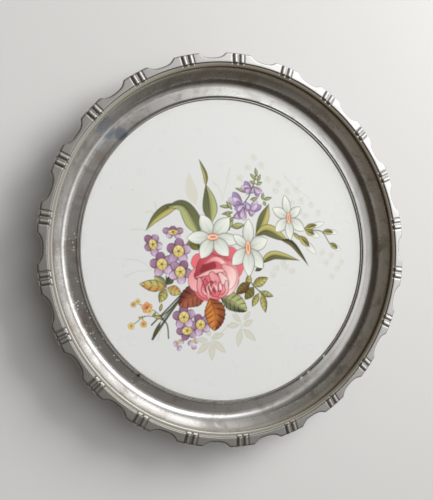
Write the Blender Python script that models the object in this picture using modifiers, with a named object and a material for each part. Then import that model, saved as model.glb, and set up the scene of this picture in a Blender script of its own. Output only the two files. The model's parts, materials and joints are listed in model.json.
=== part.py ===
"""Round folding tray table, legs folded flat under the tray.

Frame: metres, +Z up, origin on the ground under the tray's centre.
The printed plate reads upright towards +Y, so the user sits on the -Y side
and the two folding legs are at the left (-X) and the right (+X).
"""
import math

import bmesh
import bpy
from mathutils import Matrix, Vector

MM = 0.001

# ---------------------------------------------------------------- dimensions
# Everything is in millimetres here and is scaled once, when it is built.
TRAY_RADIUS = 200.0  # to the outer edge of the scallop tabs
LIP_ROOT_RADIUS = 190.0  # where the flat lip meets the narrow inner ledge
PLATE_SEEN_RADIUS = 157.1  # printed plate inside the rim's rolled bead
LIP_TOP = 43.0
PLATE_TOP = 21.7
SHEET = 1.4  # rim metal
LIP_THICK = 2.0

SCALLOPS = 22
FIRST_TAB_DEG = 6.4
NOTCH_SHARE = 0.52  # of the pitch
NOTCH_DEPTH = 5.3
RIB_SPREAD_DEG = 2.05  # between the two ribs of a pair
RIB_HALF_WIDTH = 2.3
RIB_HALF_HEIGHT = 1.5
RIB_RISE = 1.3  # above the lip

GAP = 0.3  # between touching pieces

BUMPER_HEIGHT = 12.0
BOARD_RADIUS = 172.0
BOARD_THICK = 4.0
BOARD_UNDER = BUMPER_HEIGHT + GAP
BOARD_TOP = BOARD_UNDER + BOARD_THICK
CUSHION_THICK = 1.3
PLATE_THICK = 3.5
PLATE_RADIUS = 160.2

# Legs: bent round bar, hinged on axes parallel to Y
LEG_AXIS_X = 112.0
LEG_AXIS_Z = 6.0
LEG_LENGTH = 260.0  # hinge axis to the middle of the foot bar
LEG_BAR_RADIUS = 4.0
LEG_CORNER_RADIUS = {"left": 32.0, "right": 48.0}
LEG_HALF_WIDTH = {"left": 90.0, "right": 112.0}  # the left leg nests in the right
TONGUE_THICK = 3.0
TONGUE_EYE = 4.0
LEG_OPEN_DEG = 105.0

LUG_THICK = 1.4
LUG_RADIUS = 4.8
PIN_RADIUS = 1.6
PIN_HEAD_RADIUS = 2.9
BRACKET_PLATE = 1.4

SLEEVE_RADIUS = 5.2
SLEEVE_LENGTH = 30.0
SLEEVE_AT = 40.0

STUD_RING = 166.5
STUD_ANGLES = (12.0, 60.0, 120.0, 192.0, 240.0, 300.0)
BUMPER_PLACES = (("right", 162.0, 0.0), ("back", 0.0, 145.0), ("left", -162.0, 0.0), ("front", 0.0, -145.0))

RING_STEPS = 44

# ---------------------------------------------------------------- the scene
for old in list(bpy.data.objects):
    bpy.data.objects.remove(old, do_unlink=True)

scene = bpy.context.scene
PARTS = bpy.data.collections.new("folding_tray_table")
CUTTERS = bpy.data.collections.new("cutters")
scene.collection.children.link(PARTS)
scene.collection.children.link(CUTTERS)
CUTTERS.hide_render = True


def material(name, colour, metallic, roughness):
    mat = bpy.data.materials.new(name)
    mat.use_nodes = True
    bsdf = mat.node_tree.nodes["Principled BSDF"]
    bsdf.inputs["Base Color"].default_value = (*colour, 1.0)
    bsdf.inputs["Metallic"].default_value = metallic
    bsdf.inputs["Roughness"].default_value = roughness
    mat.diffuse_color = (*colour, 1.0)
    return mat


FINISHES = {
    "pewter": ((0.42, 0.40, 0.36), 1.0, 0.30),
    "plate": ((0.74, 0.74, 0.70), 0.0, 0.22),
    "cork": ((0.36, 0.24, 0.13), 0.0, 0.90),
    "board": ((0.30, 0.20, 0.12), 0.0, 0.70),
    "steel": ((0.55, 0.55, 0.54), 1.0, 0.35),
    "spring": ((0.45, 0.46, 0.48), 1.0, 0.30),
    "leg": ((0.50, 0.49, 0.46), 1.0, 0.28),
    "brass": ((0.60, 0.45, 0.20), 1.0, 0.35),
    "rubber": ((0.05, 0.05, 0.05), 0.0, 0.75),
}


def add(name, mesh, finish, where=(0.0, 0.0, 0.0), parent=None):
    """A visible piece of its own, with its own material."""
    obj = bpy.data.objects.new(name, mesh)
    PARTS.objects.link(obj)
    obj.location = Vector(where) * MM
    if parent is not None:
        obj.parent = parent
        obj.matrix_parent_inverse = Matrix.Identity(4)
        obj.location = (Vector(where) - Vector(parent["at_mm"])) * MM
    colour, metallic, roughness = FINISHES[finish]
    mat = material(name, colour, metallic, roughness)
    if not mesh.materials:
        mesh.materials.append(mat)
    obj.material_slots[0].link = "OBJECT"
    obj.material_slots[0].material = mat
    return obj


def helper(name, mesh):
    """A cutter or an operand of a join: never shown."""
    obj = bpy.data.objects.new(name, mesh)
    CUTTERS.objects.link(obj)
    obj.hide_render = True
    obj.display_type = "WIRE"
    return obj


def smooth(mesh):
    mesh.shade_smooth()
    mesh.set_sharp_from_angle(angle=math.radians(35))


# ---------------------------------------------------------------- shapes
def from_bm(name, bm):
    bmesh.ops.recalc_face_normals(bm, faces=bm.faces)
    mesh = bpy.data.meshes.new(name)
    bm.to_mesh(mesh)
    bm.free()
    return mesh


def cylinder(bm, radius, low, high, at=(0.0, 0.0), sides=16, radius_high=None, turn=0.0):
    """A closed cylinder or cone along Z, in millimetres."""
    top = radius if radius_high is None else radius_high
    place = Matrix.Translation(Vector((at[0], at[1], (low + high) / 2)) * MM)
    spin = Matrix.Rotation(turn, 4, "Z")
    bmesh.ops.create_cone(
        bm,
        cap_ends=True,
        segments=sides,
        radius1=radius * MM,
        radius2=top * MM,
        depth=(high - low) * MM,
        matrix=place @ spin,
    )


def cylinder_y(bm, radius, low, high, at=(0.0, 0.0), sides=16):
    """The same along Y; at is (x, z)."""
    place = Matrix.Translation(Vector((at[0], (low + high) / 2, at[1])) * MM)
    lay = Matrix.Rotation(math.radians(-90), 4, "X")
    bmesh.ops.create_cone(
        bm,
        cap_ends=True,
        segments=sides,
        radius1=radius * MM,
        radius2=radius * MM,
        depth=(high - low) * MM,
        matrix=place @ lay,
    )


def block(bm, low, high, turn=None):
    low, high = Vector(low), Vector(high)
    size = (high - low) * MM
    place = Matrix.Translation((low + high) / 2 * MM)
    if turn is not None:
        place = turn @ place
    bmesh.ops.create_cube(bm, size=1.0, matrix=place @ Matrix.Diagonal((*size, 1.0)))


def cylinder_mesh(name, *args, **kwargs):
    bm = bmesh.new()
    cylinder(bm, *args, **kwargs)
    return from_bm(name, bm)


def turned(name, profile, closed=True):
    """A profile of (radius, height) points turned about Z with a Screw modifier.
    The points run outwards along the top and down the outer side."""
    bm = bmesh.new()
    verts = [bm.verts.new(Vector((r, 0.0, z)) * MM) for r, z in profile]
    for a, b in zip(verts, verts[1:]):
        bm.edges.new((a, b))
    if closed:
        bm.edges.new((verts[-1], verts[0]))
    mesh = bpy.data.meshes.new(name)
    bm.to_mesh(mesh)
    bm.free()
    return mesh


def add_screw(obj, steps):
    mod = obj.modifiers.new("turn", "SCREW")
    mod.axis = "Z"
    mod.angle = math.radians(360)
    mod.steps = steps
    mod.render_steps = steps
    mod.use_merge_vertices = True
    mod.merge_threshold = 0.00001
    mod.use_smooth_shade = True
    return mod


def add_boolean(obj, operation, other):
    mod = obj.modifiers.new(operation.lower() + "_" + other.name, "BOOLEAN")
    mod.operation = operation
    mod.solver = "EXACT"
    mod.object = other
    return mod


def evaluated_mesh(obj, name):
    """The object's evaluated shape as a mesh of its own, with loose caps welded."""
    bpy.context.view_layer.update()
    graph = bpy.context.evaluated_depsgraph_get()
    mesh = bpy.data.meshes.new_from_object(obj.evaluated_get(graph))
    mesh.name = name
    bm = bmesh.new()
    bm.from_mesh(mesh)
    bmesh.ops.remove_doubles(bm, verts=bm.verts, dist=0.000002)
    bmesh.ops.recalc_face_normals(bm, faces=bm.faces)
    bm.to_mesh(mesh)
    bm.free()
    return mesh


def outline_mesh(name, loops, low, high):
    """A flat outline (closed loops of (x, y), holes included) with a thickness."""
    data = bpy.data.curves.new(name, "CURVE")
    data.dimensions = "2D"
    data.fill_mode = "BOTH"
    data.extrude = (high - low) / 2 * MM
    for loop in loops:
        spline = data.splines.new("POLY")
        spline.points.add(len(loop) - 1)
        for point, (x, y) in zip(spline.points, loop):
            point.co = (x * MM, y * MM, 0.0, 1.0)
        spline.use_cyclic_u = True
    guide = bpy.data.objects.new(name, data)
    CUTTERS.objects.link(guide)
    mesh = evaluated_mesh(guide, name)
    mesh.transform(Matrix.Translation((0.0, 0.0, (low + high) / 2 * MM)))
    bpy.data.objects.remove(guide, do_unlink=True)
    return mesh


def tube_mesh(name, points, radius, radii=None, resolution=1):
    """A round bar along points, with filled caps."""
    data = bpy.data.curves.new(name, "CURVE")
    data.dimensions = "3D"
    data.bevel_depth = radius * MM
    data.bevel_resolution = resolution
    data.use_fill_caps = True
    data.twist_mode = "Z_UP"
    spline = data.splines.new("POLY")
    spline.points.add(len(points) - 1)
    for i, (x, y, z) in enumerate(points):
        spline.points[i].co = (x * MM, y * MM, z * MM, 1.0)
        spline.points[i].radius = radii[i] if radii else 1.0
    guide = bpy.data.objects.new(name, data)
    CUTTERS.objects.link(guide)
    mesh = evaluated_mesh(guide, name)
    bpy.data.objects.remove(guide, do_unlink=True)
    return mesh


def arc(cx, cy, radius, start, end, count):
    """count + 1 points from the start to the end angle, in degrees."""
    return [
        (
            cx + radius * math.cos(math.radians(start + (end - start) * i / count)),
            cy + radius * math.sin(math.radians(start + (end - start) * i / count)),
        )
        for i in range(count + 1)
    ]


def circle(radius, count, turn=0.0):
    return arc(0.0, 0.0, radius, turn, turn + 360.0, count)[:-1]


# ---------------------------------------------------------------- tray rim
PITCH = 360.0 / SCALLOPS


def scallop_outline():
    """Tabs on the tray radius, with a shallow round notch between each two."""
    half = PITCH * NOTCH_SHARE / 2
    floor = TRAY_RADIUS - NOTCH_DEPTH
    c = math.cos(math.radians(half))
    cut = (TRAY_RADIUS**2 + floor**2 - 2 * TRAY_RADIUS * floor * c) / (
        2 * (TRAY_RADIUS * c - floor)
    )
    middle = floor + cut
    # half the angle that the notch spans, seen from its own centre
    span = math.degrees(math.asin(TRAY_RADIUS * math.sin(math.radians(half)) / cut))
    points = []
    for k in range(SCALLOPS):
        tab = FIRST_TAB_DEG + k * PITCH
        tab_half = PITCH / 2 - half
        points += arc(0, 0, TRAY_RADIUS, tab - tab_half, tab + tab_half, 2)
        notch = tab + PITCH / 2
        nx = middle * math.cos(math.radians(notch))
        ny = middle * math.sin(math.radians(notch))
        back = notch + 180.0
        points += arc(nx, ny, cut, back + span, back - span, 5)[1:-1]
    return points


RIM_PROFILE = (
    # rolled bead over the plate's edge, a slope down to the cove's bottom, then
    # up the outer wall to the ledge inside the lip
    (PLATE_SEEN_RADIUS, PLATE_TOP + 0.6),
    (PLATE_SEEN_RADIUS + 0.9, PLATE_TOP + 1.25),
    (PLATE_SEEN_RADIUS + 2.1, PLATE_TOP + 1.2),
    (160.6, PLATE_TOP + 0.4),
    (163.8, PLATE_TOP - 0.8),
    (167.6, PLATE_TOP - 1.8),
    (170.6, PLATE_TOP - 2.45),
    (172.2, PLATE_TOP - 2.5),
    (175.2, PLATE_TOP - 0.9),
    (178.2, PLATE_TOP + 3.1),
    (181.2, PLATE_TOP + 9.5),
    (183.4, PLATE_TOP + 15.7),
    (184.9, LIP_TOP - 2.2),
    (186.6, LIP_TOP - 1.25),
    (188.8, LIP_TOP - 1.0),
    # a tongue inside the lip, which the join makes one with it
    (193.0, LIP_TOP - 0.7),
    (193.0, LIP_TOP - 1.3),
    # back down the underside
    (187.3, LIP_TOP - 2.6),
    (186.1, LIP_TOP - 3.1),
    (184.7, PLATE_TOP + 15.1),
    (182.5, PLATE_TOP + 8.9),
    (179.4, PLATE_TOP + 2.3),
    (176.1, PLATE_TOP - 2.0),
    (172.4, PLATE_TOP - 2.5 - SHEET),
    (170.2, PLATE_TOP - 2.5 - SHEET),
    (167.2, PLATE_TOP - 3.2),
    (163.3, PLATE_TOP - 2.2),
    (161.3, PLATE_TOP - 1.5),
    (160.6, PLATE_TOP - 0.4 + GAP),
    (PLATE_SEEN_RADIUS + 0.3, PLATE_TOP - 0.4 + GAP),
)

rim = add("tray_rim", turned("tray_rim", RIM_PROFILE), "pewter")
add_screw(rim, RING_STEPS)

lip = helper(
    "lip_outline",
    outline_mesh(
        "lip_outline",
        [scallop_outline(), circle(LIP_ROOT_RADIUS, 44, 4.09)],
        LIP_TOP - LIP_THICK,
        LIP_TOP,
    ),
)
add_boolean(rim, "UNION", lip)

ribs = bmesh.new()
for k in range(SCALLOPS):
    for side in (-0.5, 0.5):
        angle = math.radians(FIRST_TAB_DEG + k * PITCH + side * RIB_SPREAD_DEG)
        inner, outer = LIP_ROOT_RADIUS - 1.2, TRAY_RADIUS + 0.35
        middle = (inner + outer) / 2
        height = LIP_TOP + RIB_RISE - RIB_HALF_HEIGHT
        place = (
            Matrix.Translation(
                Vector((middle * math.cos(angle), middle * math.sin(angle), height)) * MM
            )
            @ Matrix.Rotation(angle, 4, "Z")
            @ Matrix.Diagonal((1.0, RIB_HALF_WIDTH, RIB_HALF_HEIGHT, 1.0))
            @ Matrix.Rotation(math.radians(90), 4, "Y")
            @ Matrix.Rotation(math.radians(30.0), 4, "Z")
        )
        bmesh.ops.create_cone(
            ribs,
            cap_ends=True,
            segments=6,
            radius1=MM,
            radius2=MM,
            depth=(outer - inner) * MM,
            matrix=place,
        )
add_boolean(rim, "UNION", helper("rim_ribs", from_bm("rim_ribs", ribs)))

# ---------------------------------------------------------------- plate and what backs it
plate = add(
    "inlay_plate",
    turned(
        "inlay_plate",
        (
            (0.0, PLATE_TOP),
            (PLATE_SEEN_RADIUS - 0.6, PLATE_TOP),
            (PLATE_SEEN_RADIUS - 0.2, PLATE_TOP - 0.4),
            (PLATE_RADIUS, PLATE_TOP - 0.4),
            (PLATE_RADIUS, PLATE_TOP - PLATE_THICK + 0.5),
            (PLATE_RADIUS - 0.5, PLATE_TOP - PLATE_THICK),
            (0.0, PLATE_TOP - PLATE_THICK),
        ),
        closed=False,
    ),
    "plate",
)
add_screw(plate, 72)

cushion_top = PLATE_TOP - PLATE_THICK - GAP
cushion = add(
    "cushion_ring",
    outline_mesh(
        "cushion_ring",
        [circle(157.5, 48), circle(100.0, 36)],
        cushion_top - CUSHION_THICK,
        cushion_top,
    ),
    "cork",
)

board = add(
    "backing_board",
    cylinder_mesh("backing_board", BOARD_RADIUS, BOARD_UNDER, BOARD_TOP, sides=72),
    "board",
)

# every hole through the board: (x, y, radius)
board_holes = []

# ---------------------------------------------------------------- studs and nuts
stud_high = PLATE_TOP - 2.5 - SHEET - GAP
stud_low = BOARD_UNDER - 4.2
nut_high = BOARD_UNDER - GAP
nut_low = nut_high - 2.4


def stud_mesh():
    """Flat-headed stud: the head is soldered under the rim."""
    return turned(
        "rim_stud",
        (
            (0.0, stud_high),
            (3.4, stud_high),
            (3.4, BOARD_TOP + 0.2),
            (1.5, BOARD_TOP + 0.2),
            (1.5, stud_low),
            (0.0, stud_low),
        ),
        closed=False,
    )


def nut_mesh():
    bm = bmesh.new()
    cylinder(bm, 3.2, nut_low, nut_high, sides=6)
    body = from_bm("rim_nut", bm)
    return body


for number, angle in enumerate(STUD_ANGLES, 1):
    x = STUD_RING * math.cos(math.radians(angle))
    y = STUD_RING * math.sin(math.radians(angle))
    stud = add(f"rim_stud_{number}", stud_mesh(), "steel", (x, y, 0.0))
    add_screw(stud, 8)
    nut = add(f"rim_nut_{number}", nut_mesh(), "brass", (x, y, 0.0))
    bore = helper(f"nut_bore_{number}", cylinder_mesh(f"nut_bore_{number}", 1.8, 0.0, 20.0, (x, y), 8))
    add_boolean(nut, "DIFFERENCE", bore)
    board_holes.append((x, y, 1.9))

# ---------------------------------------------------------------- rest bumpers
screw_tip = BOARD_TOP - 0.8


def wood_screw(head_low, head_high, head_radius, shank=1.4):
    """Pan-head screw pointing up: the head is at the bottom."""
    return turned(
        "screw",
        (
            (0.0, screw_tip),
            (shank, screw_tip - 1.8),
            (shank, head_high),
            (head_radius, head_high),
            (head_radius - 0.5, head_low),
            (0.0, head_low),
        ),
        closed=False,
    )


for place, x, y in BUMPER_PLACES:
    mesh = turned(
        f"bumper_{place}",
        (
            (1.8, BUMPER_HEIGHT),
            (7.0, BUMPER_HEIGHT),
            (7.0, 3.0),
            (6.4, 0.8),
            (5.6, 0.0),
            (3.7, 0.0),
            (3.7, 7.0),
            (1.8, 7.0),
        ),
    )
    bumper = add(f"bumper_{place}", mesh, "rubber", (x, y, 0.0))
    add_screw(bumper, 14)
    screw = add(
        f"bumper_screw_{place}", wood_screw(5.0, 7.0 - GAP, 3.0), "steel", (x, y, 0.0)
    )
    add_screw(screw, 8)
    board_holes.append((x, y, 1.8))

# ---------------------------------------------------------------- legs
tongue_half = TONGUE_THICK / 2
lug_in = tongue_half + GAP
lug_out = lug_in + LUG_THICK
head_in = lug_out + GAP
head_out = head_in + 1.0


def leg_pieces(side):
    """One bent-bar leg with flattened, drilled ends, and its two foot sleeves.
    It is folded: it lies under the board and points to the other side."""
    to = 1.0 if side == "left" else -1.0  # direction from the hinge to the foot bar
    axis_x = -to * LEG_AXIS_X
    half = LEG_HALF_WIDTH[side]
    pivot = bpy.data.objects.new(f"{side}_leg_pivot", None)
    PARTS.objects.link(pivot)
    pivot.empty_display_size = 0.02
    pivot.location = Vector((axis_x, 0.0, LEG_AXIS_Z)) * MM
    pivot["at_mm"] = (axis_x, 0.0, LEG_AXIS_Z)

    bend = LEG_CORNER_RADIUS[side]
    run = LEG_LENGTH
    path, radii = [], []
    for x, r in ((8.6, 0.62), (10.0, 0.78), (13.5, 1.0), (110.0, 1.0)):
        path.append((x, half))
        radii.append(r)
    corner = arc(run - bend, half - bend, bend, 90.0, 0.0, 6)
    path += corner
    radii += [1.0] * len(corner)
    path.append((run, 0.0))
    radii.append(1.0)
    points = path + [(x, -y) for x, y in reversed(path[:-1])]
    radii = radii + radii[:-1][::-1]
    tube = add(
        f"{side}_leg_bar",
        tube_mesh(f"{side}_leg_bar", [(to * x, y, 0.0) for x, y in points], LEG_BAR_RADIUS, radii),
        "leg",
        (axis_x, 0.0, LEG_AXIS_Z),
        pivot,
    )
    # flattened ends
    tongue = bpy.data.meshes.new(f"{side}_tongues")
    flats = bmesh.new()
    eye = arc(0.0, 0.0, TONGUE_EYE, 50.0, 310.0, 12)
    outline = eye + [(24.0, -3.2), (24.0, 3.2)]
    shape = outline_mesh(f"{side}_tongue", [outline], -tongue_half, tongue_half)
    for end in (1.0, -1.0):
        copy = shape.copy()
        stand = Matrix.Rotation(math.radians(90), 4, "X")
        if to < 0:
            stand = Matrix.Rotation(math.radians(180), 4, "Z") @ stand
        copy.transform(Matrix.Translation(Vector((axis_x, end * half, LEG_AXIS_Z)) * MM) @ stand)
        flats.from_mesh(copy)
        bpy.data.meshes.remove(copy)
    bmesh.ops.recalc_face_normals(flats, faces=flats.faces)
    flats.to_mesh(tongue)
    flats.free()
    add_boolean(tube, "UNION", helper(f"{side}_tongues", tongue))
    bores = bmesh.new()
    for end in (1.0, -1.0):
        cylinder_y(
            bores,
            PIN_RADIUS + GAP,
            end * half - 4.0,
            end * half + 4.0,
            (axis_x, LEG_AXIS_Z),
            10,
        )
    add_boolean(tube, "DIFFERENCE", helper(f"{side}_eye_bores", from_bm(f"{side}_eye_bores", bores)))

    for end, where in ((1.0, "back"), (-1.0, "front")):
        mesh = turned(
            f"{side}_foot_sleeve_{where}",
            (
                (LEG_BAR_RADIUS + GAP, SLEEVE_LENGTH / 2),
                (SLEEVE_RADIUS - 0.4, SLEEVE_LENGTH / 2),
                (SLEEVE_RADIUS, SLEEVE_LENGTH / 2 - 0.8),
                (SLEEVE_RADIUS, -SLEEVE_LENGTH / 2 + 0.8),
                (SLEEVE_RADIUS - 0.4, -SLEEVE_LENGTH / 2),
                (LEG_BAR_RADIUS + GAP, -SLEEVE_LENGTH / 2),
            ),
        )
        sleeve = add(
            f"{side}_foot_sleeve_{where}",
            mesh,
            "rubber",
            (axis_x + to * run, end * SLEEVE_AT, LEG_AXIS_Z),
            pivot,
        )
        sleeve.rotation_euler = (math.radians(90), 0.0, 0.0)
        add_screw(sleeve, 12)

    # hinge brackets, pins and screws
    out_x, out_z = -to * math.sin(math.radians(LEG_OPEN_DEG)), -math.cos(math.radians(LEG_OPEN_DEG))
    for end, where in ((1.0, "back"), (-1.0, "front")):
        y = end * half
        bm = bmesh.new()
        inward = y - end * 15.0
        low_y, high_y = sorted((y + end * lug_out, inward))
        block(
            bm,
            (axis_x - 10.0, low_y, BOARD_UNDER - GAP - BRACKET_PLATE),
            (axis_x + 10.0, high_y, BOARD_UNDER - GAP),
        )
        bracket = add(f"{side}_hinge_bracket_{where}", from_bm("bracket", bm), "steel")
        # two lugs
        base = BOARD_UNDER - GAP - BRACKET_PLATE + 0.5 - LEG_AXIS_Z
        lug_line = [(-to * 7.0, base)]
        lug_line += [(-to * 7.0, 0.6)]
        start, stop = (200.0, 350.0) if to > 0 else (-20.0, -170.0)
        lug_line += arc(0.0, 0.0, LUG_RADIUS, start, stop, 8)
        lug_line += [(to * 5.2, base)]
        lugs = bmesh.new()
        flat = outline_mesh("lug", [lug_line], 0.0, LUG_THICK)
        for low in (lug_in, -lug_out):
            copy = flat.copy()
            copy.transform(
                Matrix.Translation(Vector((axis_x, y + low + LUG_THICK, LEG_AXIS_Z)) * MM)
                @ Matrix.Rotation(math.radians(90), 4, "X")
            )
            lugs.from_mesh(copy)
            bpy.data.meshes.remove(copy)
        bmesh.ops.recalc_face_normals(lugs, faces=lugs.faces)
        lug_mesh = bpy.data.meshes.new("lugs")
        lugs.to_mesh(lug_mesh)
        lugs.free()
        add_boolean(bracket, "UNION", helper(f"{side}_lugs_{where}", lug_mesh))
        # the stop web that an open leg leans on
        web = bmesh.new()
        lean = math.radians(LEG_OPEN_DEG - 90.0)
        turn = (
            Matrix.Translation(Vector((axis_x, y, LEG_AXIS_Z)) * MM)
            @ Matrix.Rotation(to * lean, 4, "Y")
        )
        near, far = TONGUE_EYE + GAP, TONGUE_EYE + GAP + 1.5
        low_x, high_x = sorted((-to * near, -to * far))
        block(web, (low_x, -lug_out + 0.3, -5.2), (high_x, lug_out - 0.3, 4.1), turn)
        add_boolean(bracket, "UNION", helper(f"{side}_web_{where}", from_bm("web", web)))
        # pin and screw holes
        holes = bmesh.new()
        cylinder_y(holes, PIN_RADIUS + GAP, y - 6.0, y + 6.0, (axis_x, LEG_AXIS_Z), 10)
        screws = [(axis_x - 5.6, y - end * 9.6), (axis_x + 5.6, y - end * 9.6)]
        for sx, sy in screws:
            cylinder(holes, 1.8, BOARD_UNDER - 4.0, BOARD_UNDER + 2.0, (sx, sy), 8)
        add_boolean(
            bracket, "DIFFERENCE", helper(f"{side}_bracket_holes_{where}", from_bm("holes", holes))
        )
        for number, (sx, sy) in enumerate(screws, 1):
            plate_low = BOARD_UNDER - GAP - BRACKET_PLATE
            screw = add(
                f"{side}_bracket_screw_{where}_{number}",
                wood_screw(plate_low - GAP - 1.7, plate_low - GAP, 2.6),
                "steel",
                (sx, sy, 0.0),
            )
            add_screw(screw, 8)
            board_holes.append((sx, sy, 1.8))
        pin_mesh = turned(
            f"{side}_pivot_pin_{where}",
            (
                (0.0, head_out),
                (PIN_HEAD_RADIUS - 0.6, head_out),
                (PIN_HEAD_RADIUS, head_in),
                (PIN_RADIUS, head_in),
                (PIN_RADIUS, -head_in),
                (PIN_HEAD_RADIUS, -head_in),
                (PIN_HEAD_RADIUS - 0.6, -head_out),
                (0.0, -head_out),
            ),
            closed=False,
        )
        pin = add(f"{side}_pivot_pin_{where}", pin_mesh, "brass", (axis_x, y, LEG_AXIS_Z))
        pin.rotation_euler = (math.radians(90), 0.0, 0.0)
        add_screw(pin, 10)

    # the clip that holds the folded foot bar, screwed to the board
    bar_x = axis_x + to * run
    inner, outer = LEG_BAR_RADIUS + 0.45, LEG_BAR_RADIUS + 1.45
    tab_high = BOARD_UNDER - GAP
    tab_low = tab_high - 1.0
    tip = -2.2
    line = [(inner, tip), (outer, tip)] + arc(0, 0, outer, 0.0, 62.0, 5)
    line += [
        (2.6, tab_high - LEG_AXIS_Z),
        (-20.0, tab_high - LEG_AXIS_Z),
        (-20.0, tab_low - LEG_AXIS_Z),
        (-3.4, tab_low - LEG_AXIS_Z),
    ]
    line += arc(0, 0, outer, 140.0, 180.0, 3)
    line += [(-outer, tip), (-inner, tip)] + arc(0, 0, inner, 180.0, 0.0, 10)
    shape = outline_mesh(f"{side}_clip", [line], -7.0, 7.0)
    stand = Matrix.Rotation(math.radians(90), 4, "X")
    if to < 0:
        stand = Matrix.Rotation(math.radians(180), 4, "Z") @ stand
    shape.transform(stand)
    clip = add(f"{side}_leg_clip", shape, "spring", (bar_x, 0.0, LEG_AXIS_Z))
    hx = bar_x - to * 14.5
    add_boolean(
        clip,
        "DIFFERENCE",
        helper(f"{side}_clip_hole", cylinder_mesh("clip_hole", 1.8, 6.0, 14.0, (hx, 0.0), 10)),
    )
    screw = add(
        f"{side}_clip_screw",
        wood_screw(tab_low - GAP - 1.7, tab_low - GAP, 2.6),
        "steel",
        (hx, 0.0, 0.0),
    )
    add_screw(screw, 8)
    board_holes.append((hx, 0.0, 1.8))


leg_pieces("left")
leg_pieces("right")

# ---------------------------------------------------------------- holes in the board
drill = bmesh.new()
for x, y, radius in board_holes:
    cylinder(drill, radius, BOARD_UNDER - 2.0, BOARD_TOP + 2.0, (x, y), 8)
add_boolean(board, "DIFFERENCE", helper("board_holes", from_bm("board_holes", drill)))

for obj in PARTS.objects:
    if obj.type == "MESH":
        smooth(obj.data)
bpy.context.view_layer.update()
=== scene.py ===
"""Folding tray table: the looks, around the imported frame."""

import json
import math

import bmesh
import bpy
import numpy as np
from mathutils import Matrix, Quaternion, Vector

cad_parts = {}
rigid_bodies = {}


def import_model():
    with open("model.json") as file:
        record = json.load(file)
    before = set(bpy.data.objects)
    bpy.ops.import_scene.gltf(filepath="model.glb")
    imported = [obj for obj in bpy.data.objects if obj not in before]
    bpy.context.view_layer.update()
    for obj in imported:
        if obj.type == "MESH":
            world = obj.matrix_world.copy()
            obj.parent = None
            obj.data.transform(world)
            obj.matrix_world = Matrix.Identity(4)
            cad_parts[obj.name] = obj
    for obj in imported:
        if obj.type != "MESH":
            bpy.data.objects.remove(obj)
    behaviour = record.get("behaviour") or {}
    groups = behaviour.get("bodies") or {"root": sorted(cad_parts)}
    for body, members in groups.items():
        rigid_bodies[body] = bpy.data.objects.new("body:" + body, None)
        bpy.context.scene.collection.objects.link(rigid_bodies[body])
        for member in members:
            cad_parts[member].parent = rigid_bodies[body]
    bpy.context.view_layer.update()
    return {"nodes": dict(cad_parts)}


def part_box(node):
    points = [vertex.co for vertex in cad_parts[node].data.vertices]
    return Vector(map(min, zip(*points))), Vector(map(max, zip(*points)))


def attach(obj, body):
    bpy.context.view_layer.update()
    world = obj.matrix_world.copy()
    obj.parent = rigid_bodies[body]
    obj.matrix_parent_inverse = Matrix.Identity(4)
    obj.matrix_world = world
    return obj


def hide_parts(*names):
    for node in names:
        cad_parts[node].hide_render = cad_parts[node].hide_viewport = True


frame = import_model()
MM = 0.001
scene = bpy.context.scene
scene.view_settings.view_transform = "Standard"
scene.view_settings.look = "None"

# ---------------------------------------------------------------- helpers
def mesh_object(name, verts, faces, body, sharp=None):
    """A new piece from points in millimetres, smooth shaded, riding on a body."""
    mesh = bpy.data.meshes.new(name)
    verts = np.asarray(verts, float) * MM
    mesh.from_pydata([tuple(v) for v in verts], [], [tuple(int(i) for i in f) for f in faces])
    mesh.update()
    mesh.shade_smooth()
    if sharp is not None:
        mesh.set_sharp_from_angle(angle=math.radians(sharp))
    obj = bpy.data.objects.new(name, mesh)
    scene.collection.objects.link(obj)
    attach(obj, body)
    return obj


def grid_faces(rows, cols, wrap_rows=False, wrap_cols=False, start=0):
    """Quads of a grid whose point (i, j) has the index start + i * cols + j."""
    i = np.arange(rows if wrap_rows else rows - 1)
    j = np.arange(cols if wrap_cols else cols - 1)
    ii, jj = np.meshgrid(i, j, indexing="ij")
    i2, j2 = (ii + 1) % rows, (jj + 1) % cols
    quads = np.stack(
        [ii * cols + jj, ii * cols + j2, i2 * cols + j2, i2 * cols + jj], axis=-1
    )
    return quads.reshape(-1, 4) + start


def spline_through(points, counts):
    """A smooth line through points of any dimension (centripetal-like Catmull-Rom),
    with counts[i] steps in the span from point i to point i + 1."""
    p = np.asarray(points, float)
    if isinstance(counts, int):
        counts = [counts] * (len(p) - 1)
    ext = np.vstack([2 * p[0] - p[1], p, 2 * p[-1] - p[-2]])
    out = []
    for k, count in enumerate(counts):
        p0, p1, p2, p3 = ext[k : k + 4]
        d = np.linalg.norm(p2 - p1)
        m1 = (p2 - p0) / max(np.linalg.norm(p2 - p0), 1e-9) * d
        m2 = (p3 - p1) / max(np.linalg.norm(p3 - p1), 1e-9) * d
        t = np.linspace(0, 1, count, endpoint=False)[:, None]
        out.append(
            (2 * t**3 - 3 * t**2 + 1) * p1
            + (t**3 - 2 * t**2 + t) * m1
            + (-2 * t**3 + 3 * t**2) * p2
            + (t**3 - t**2) * m2
        )
    out.append(p[-1:])
    return np.vstack(out)


def smoothstep(a, b, x):
    t = np.clip((np.asarray(x, float) - a) / (b - a), 0.0, 1.0)
    return t * t * (3 - 2 * t)


# ---------------------------------------------------------------- camera
camera = bpy.data.objects.new("camera", bpy.data.cameras.new("camera"))
scene.collection.objects.link(camera)
camera.location = (-0.24011, -0.00940, 0.60373)
camera.rotation_mode = "QUATERNION"
camera.rotation_quaternion = Quaternion((0.98330229, 0.01045065, -0.1808009, -0.01784468))
camera.data.lens = 43.2
camera.data.sensor_width = 36.0
camera.data.clip_start = 0.02
camera.data.clip_end = 20.0
camera.data.dof.use_dof = False
scene.camera = camera

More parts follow.
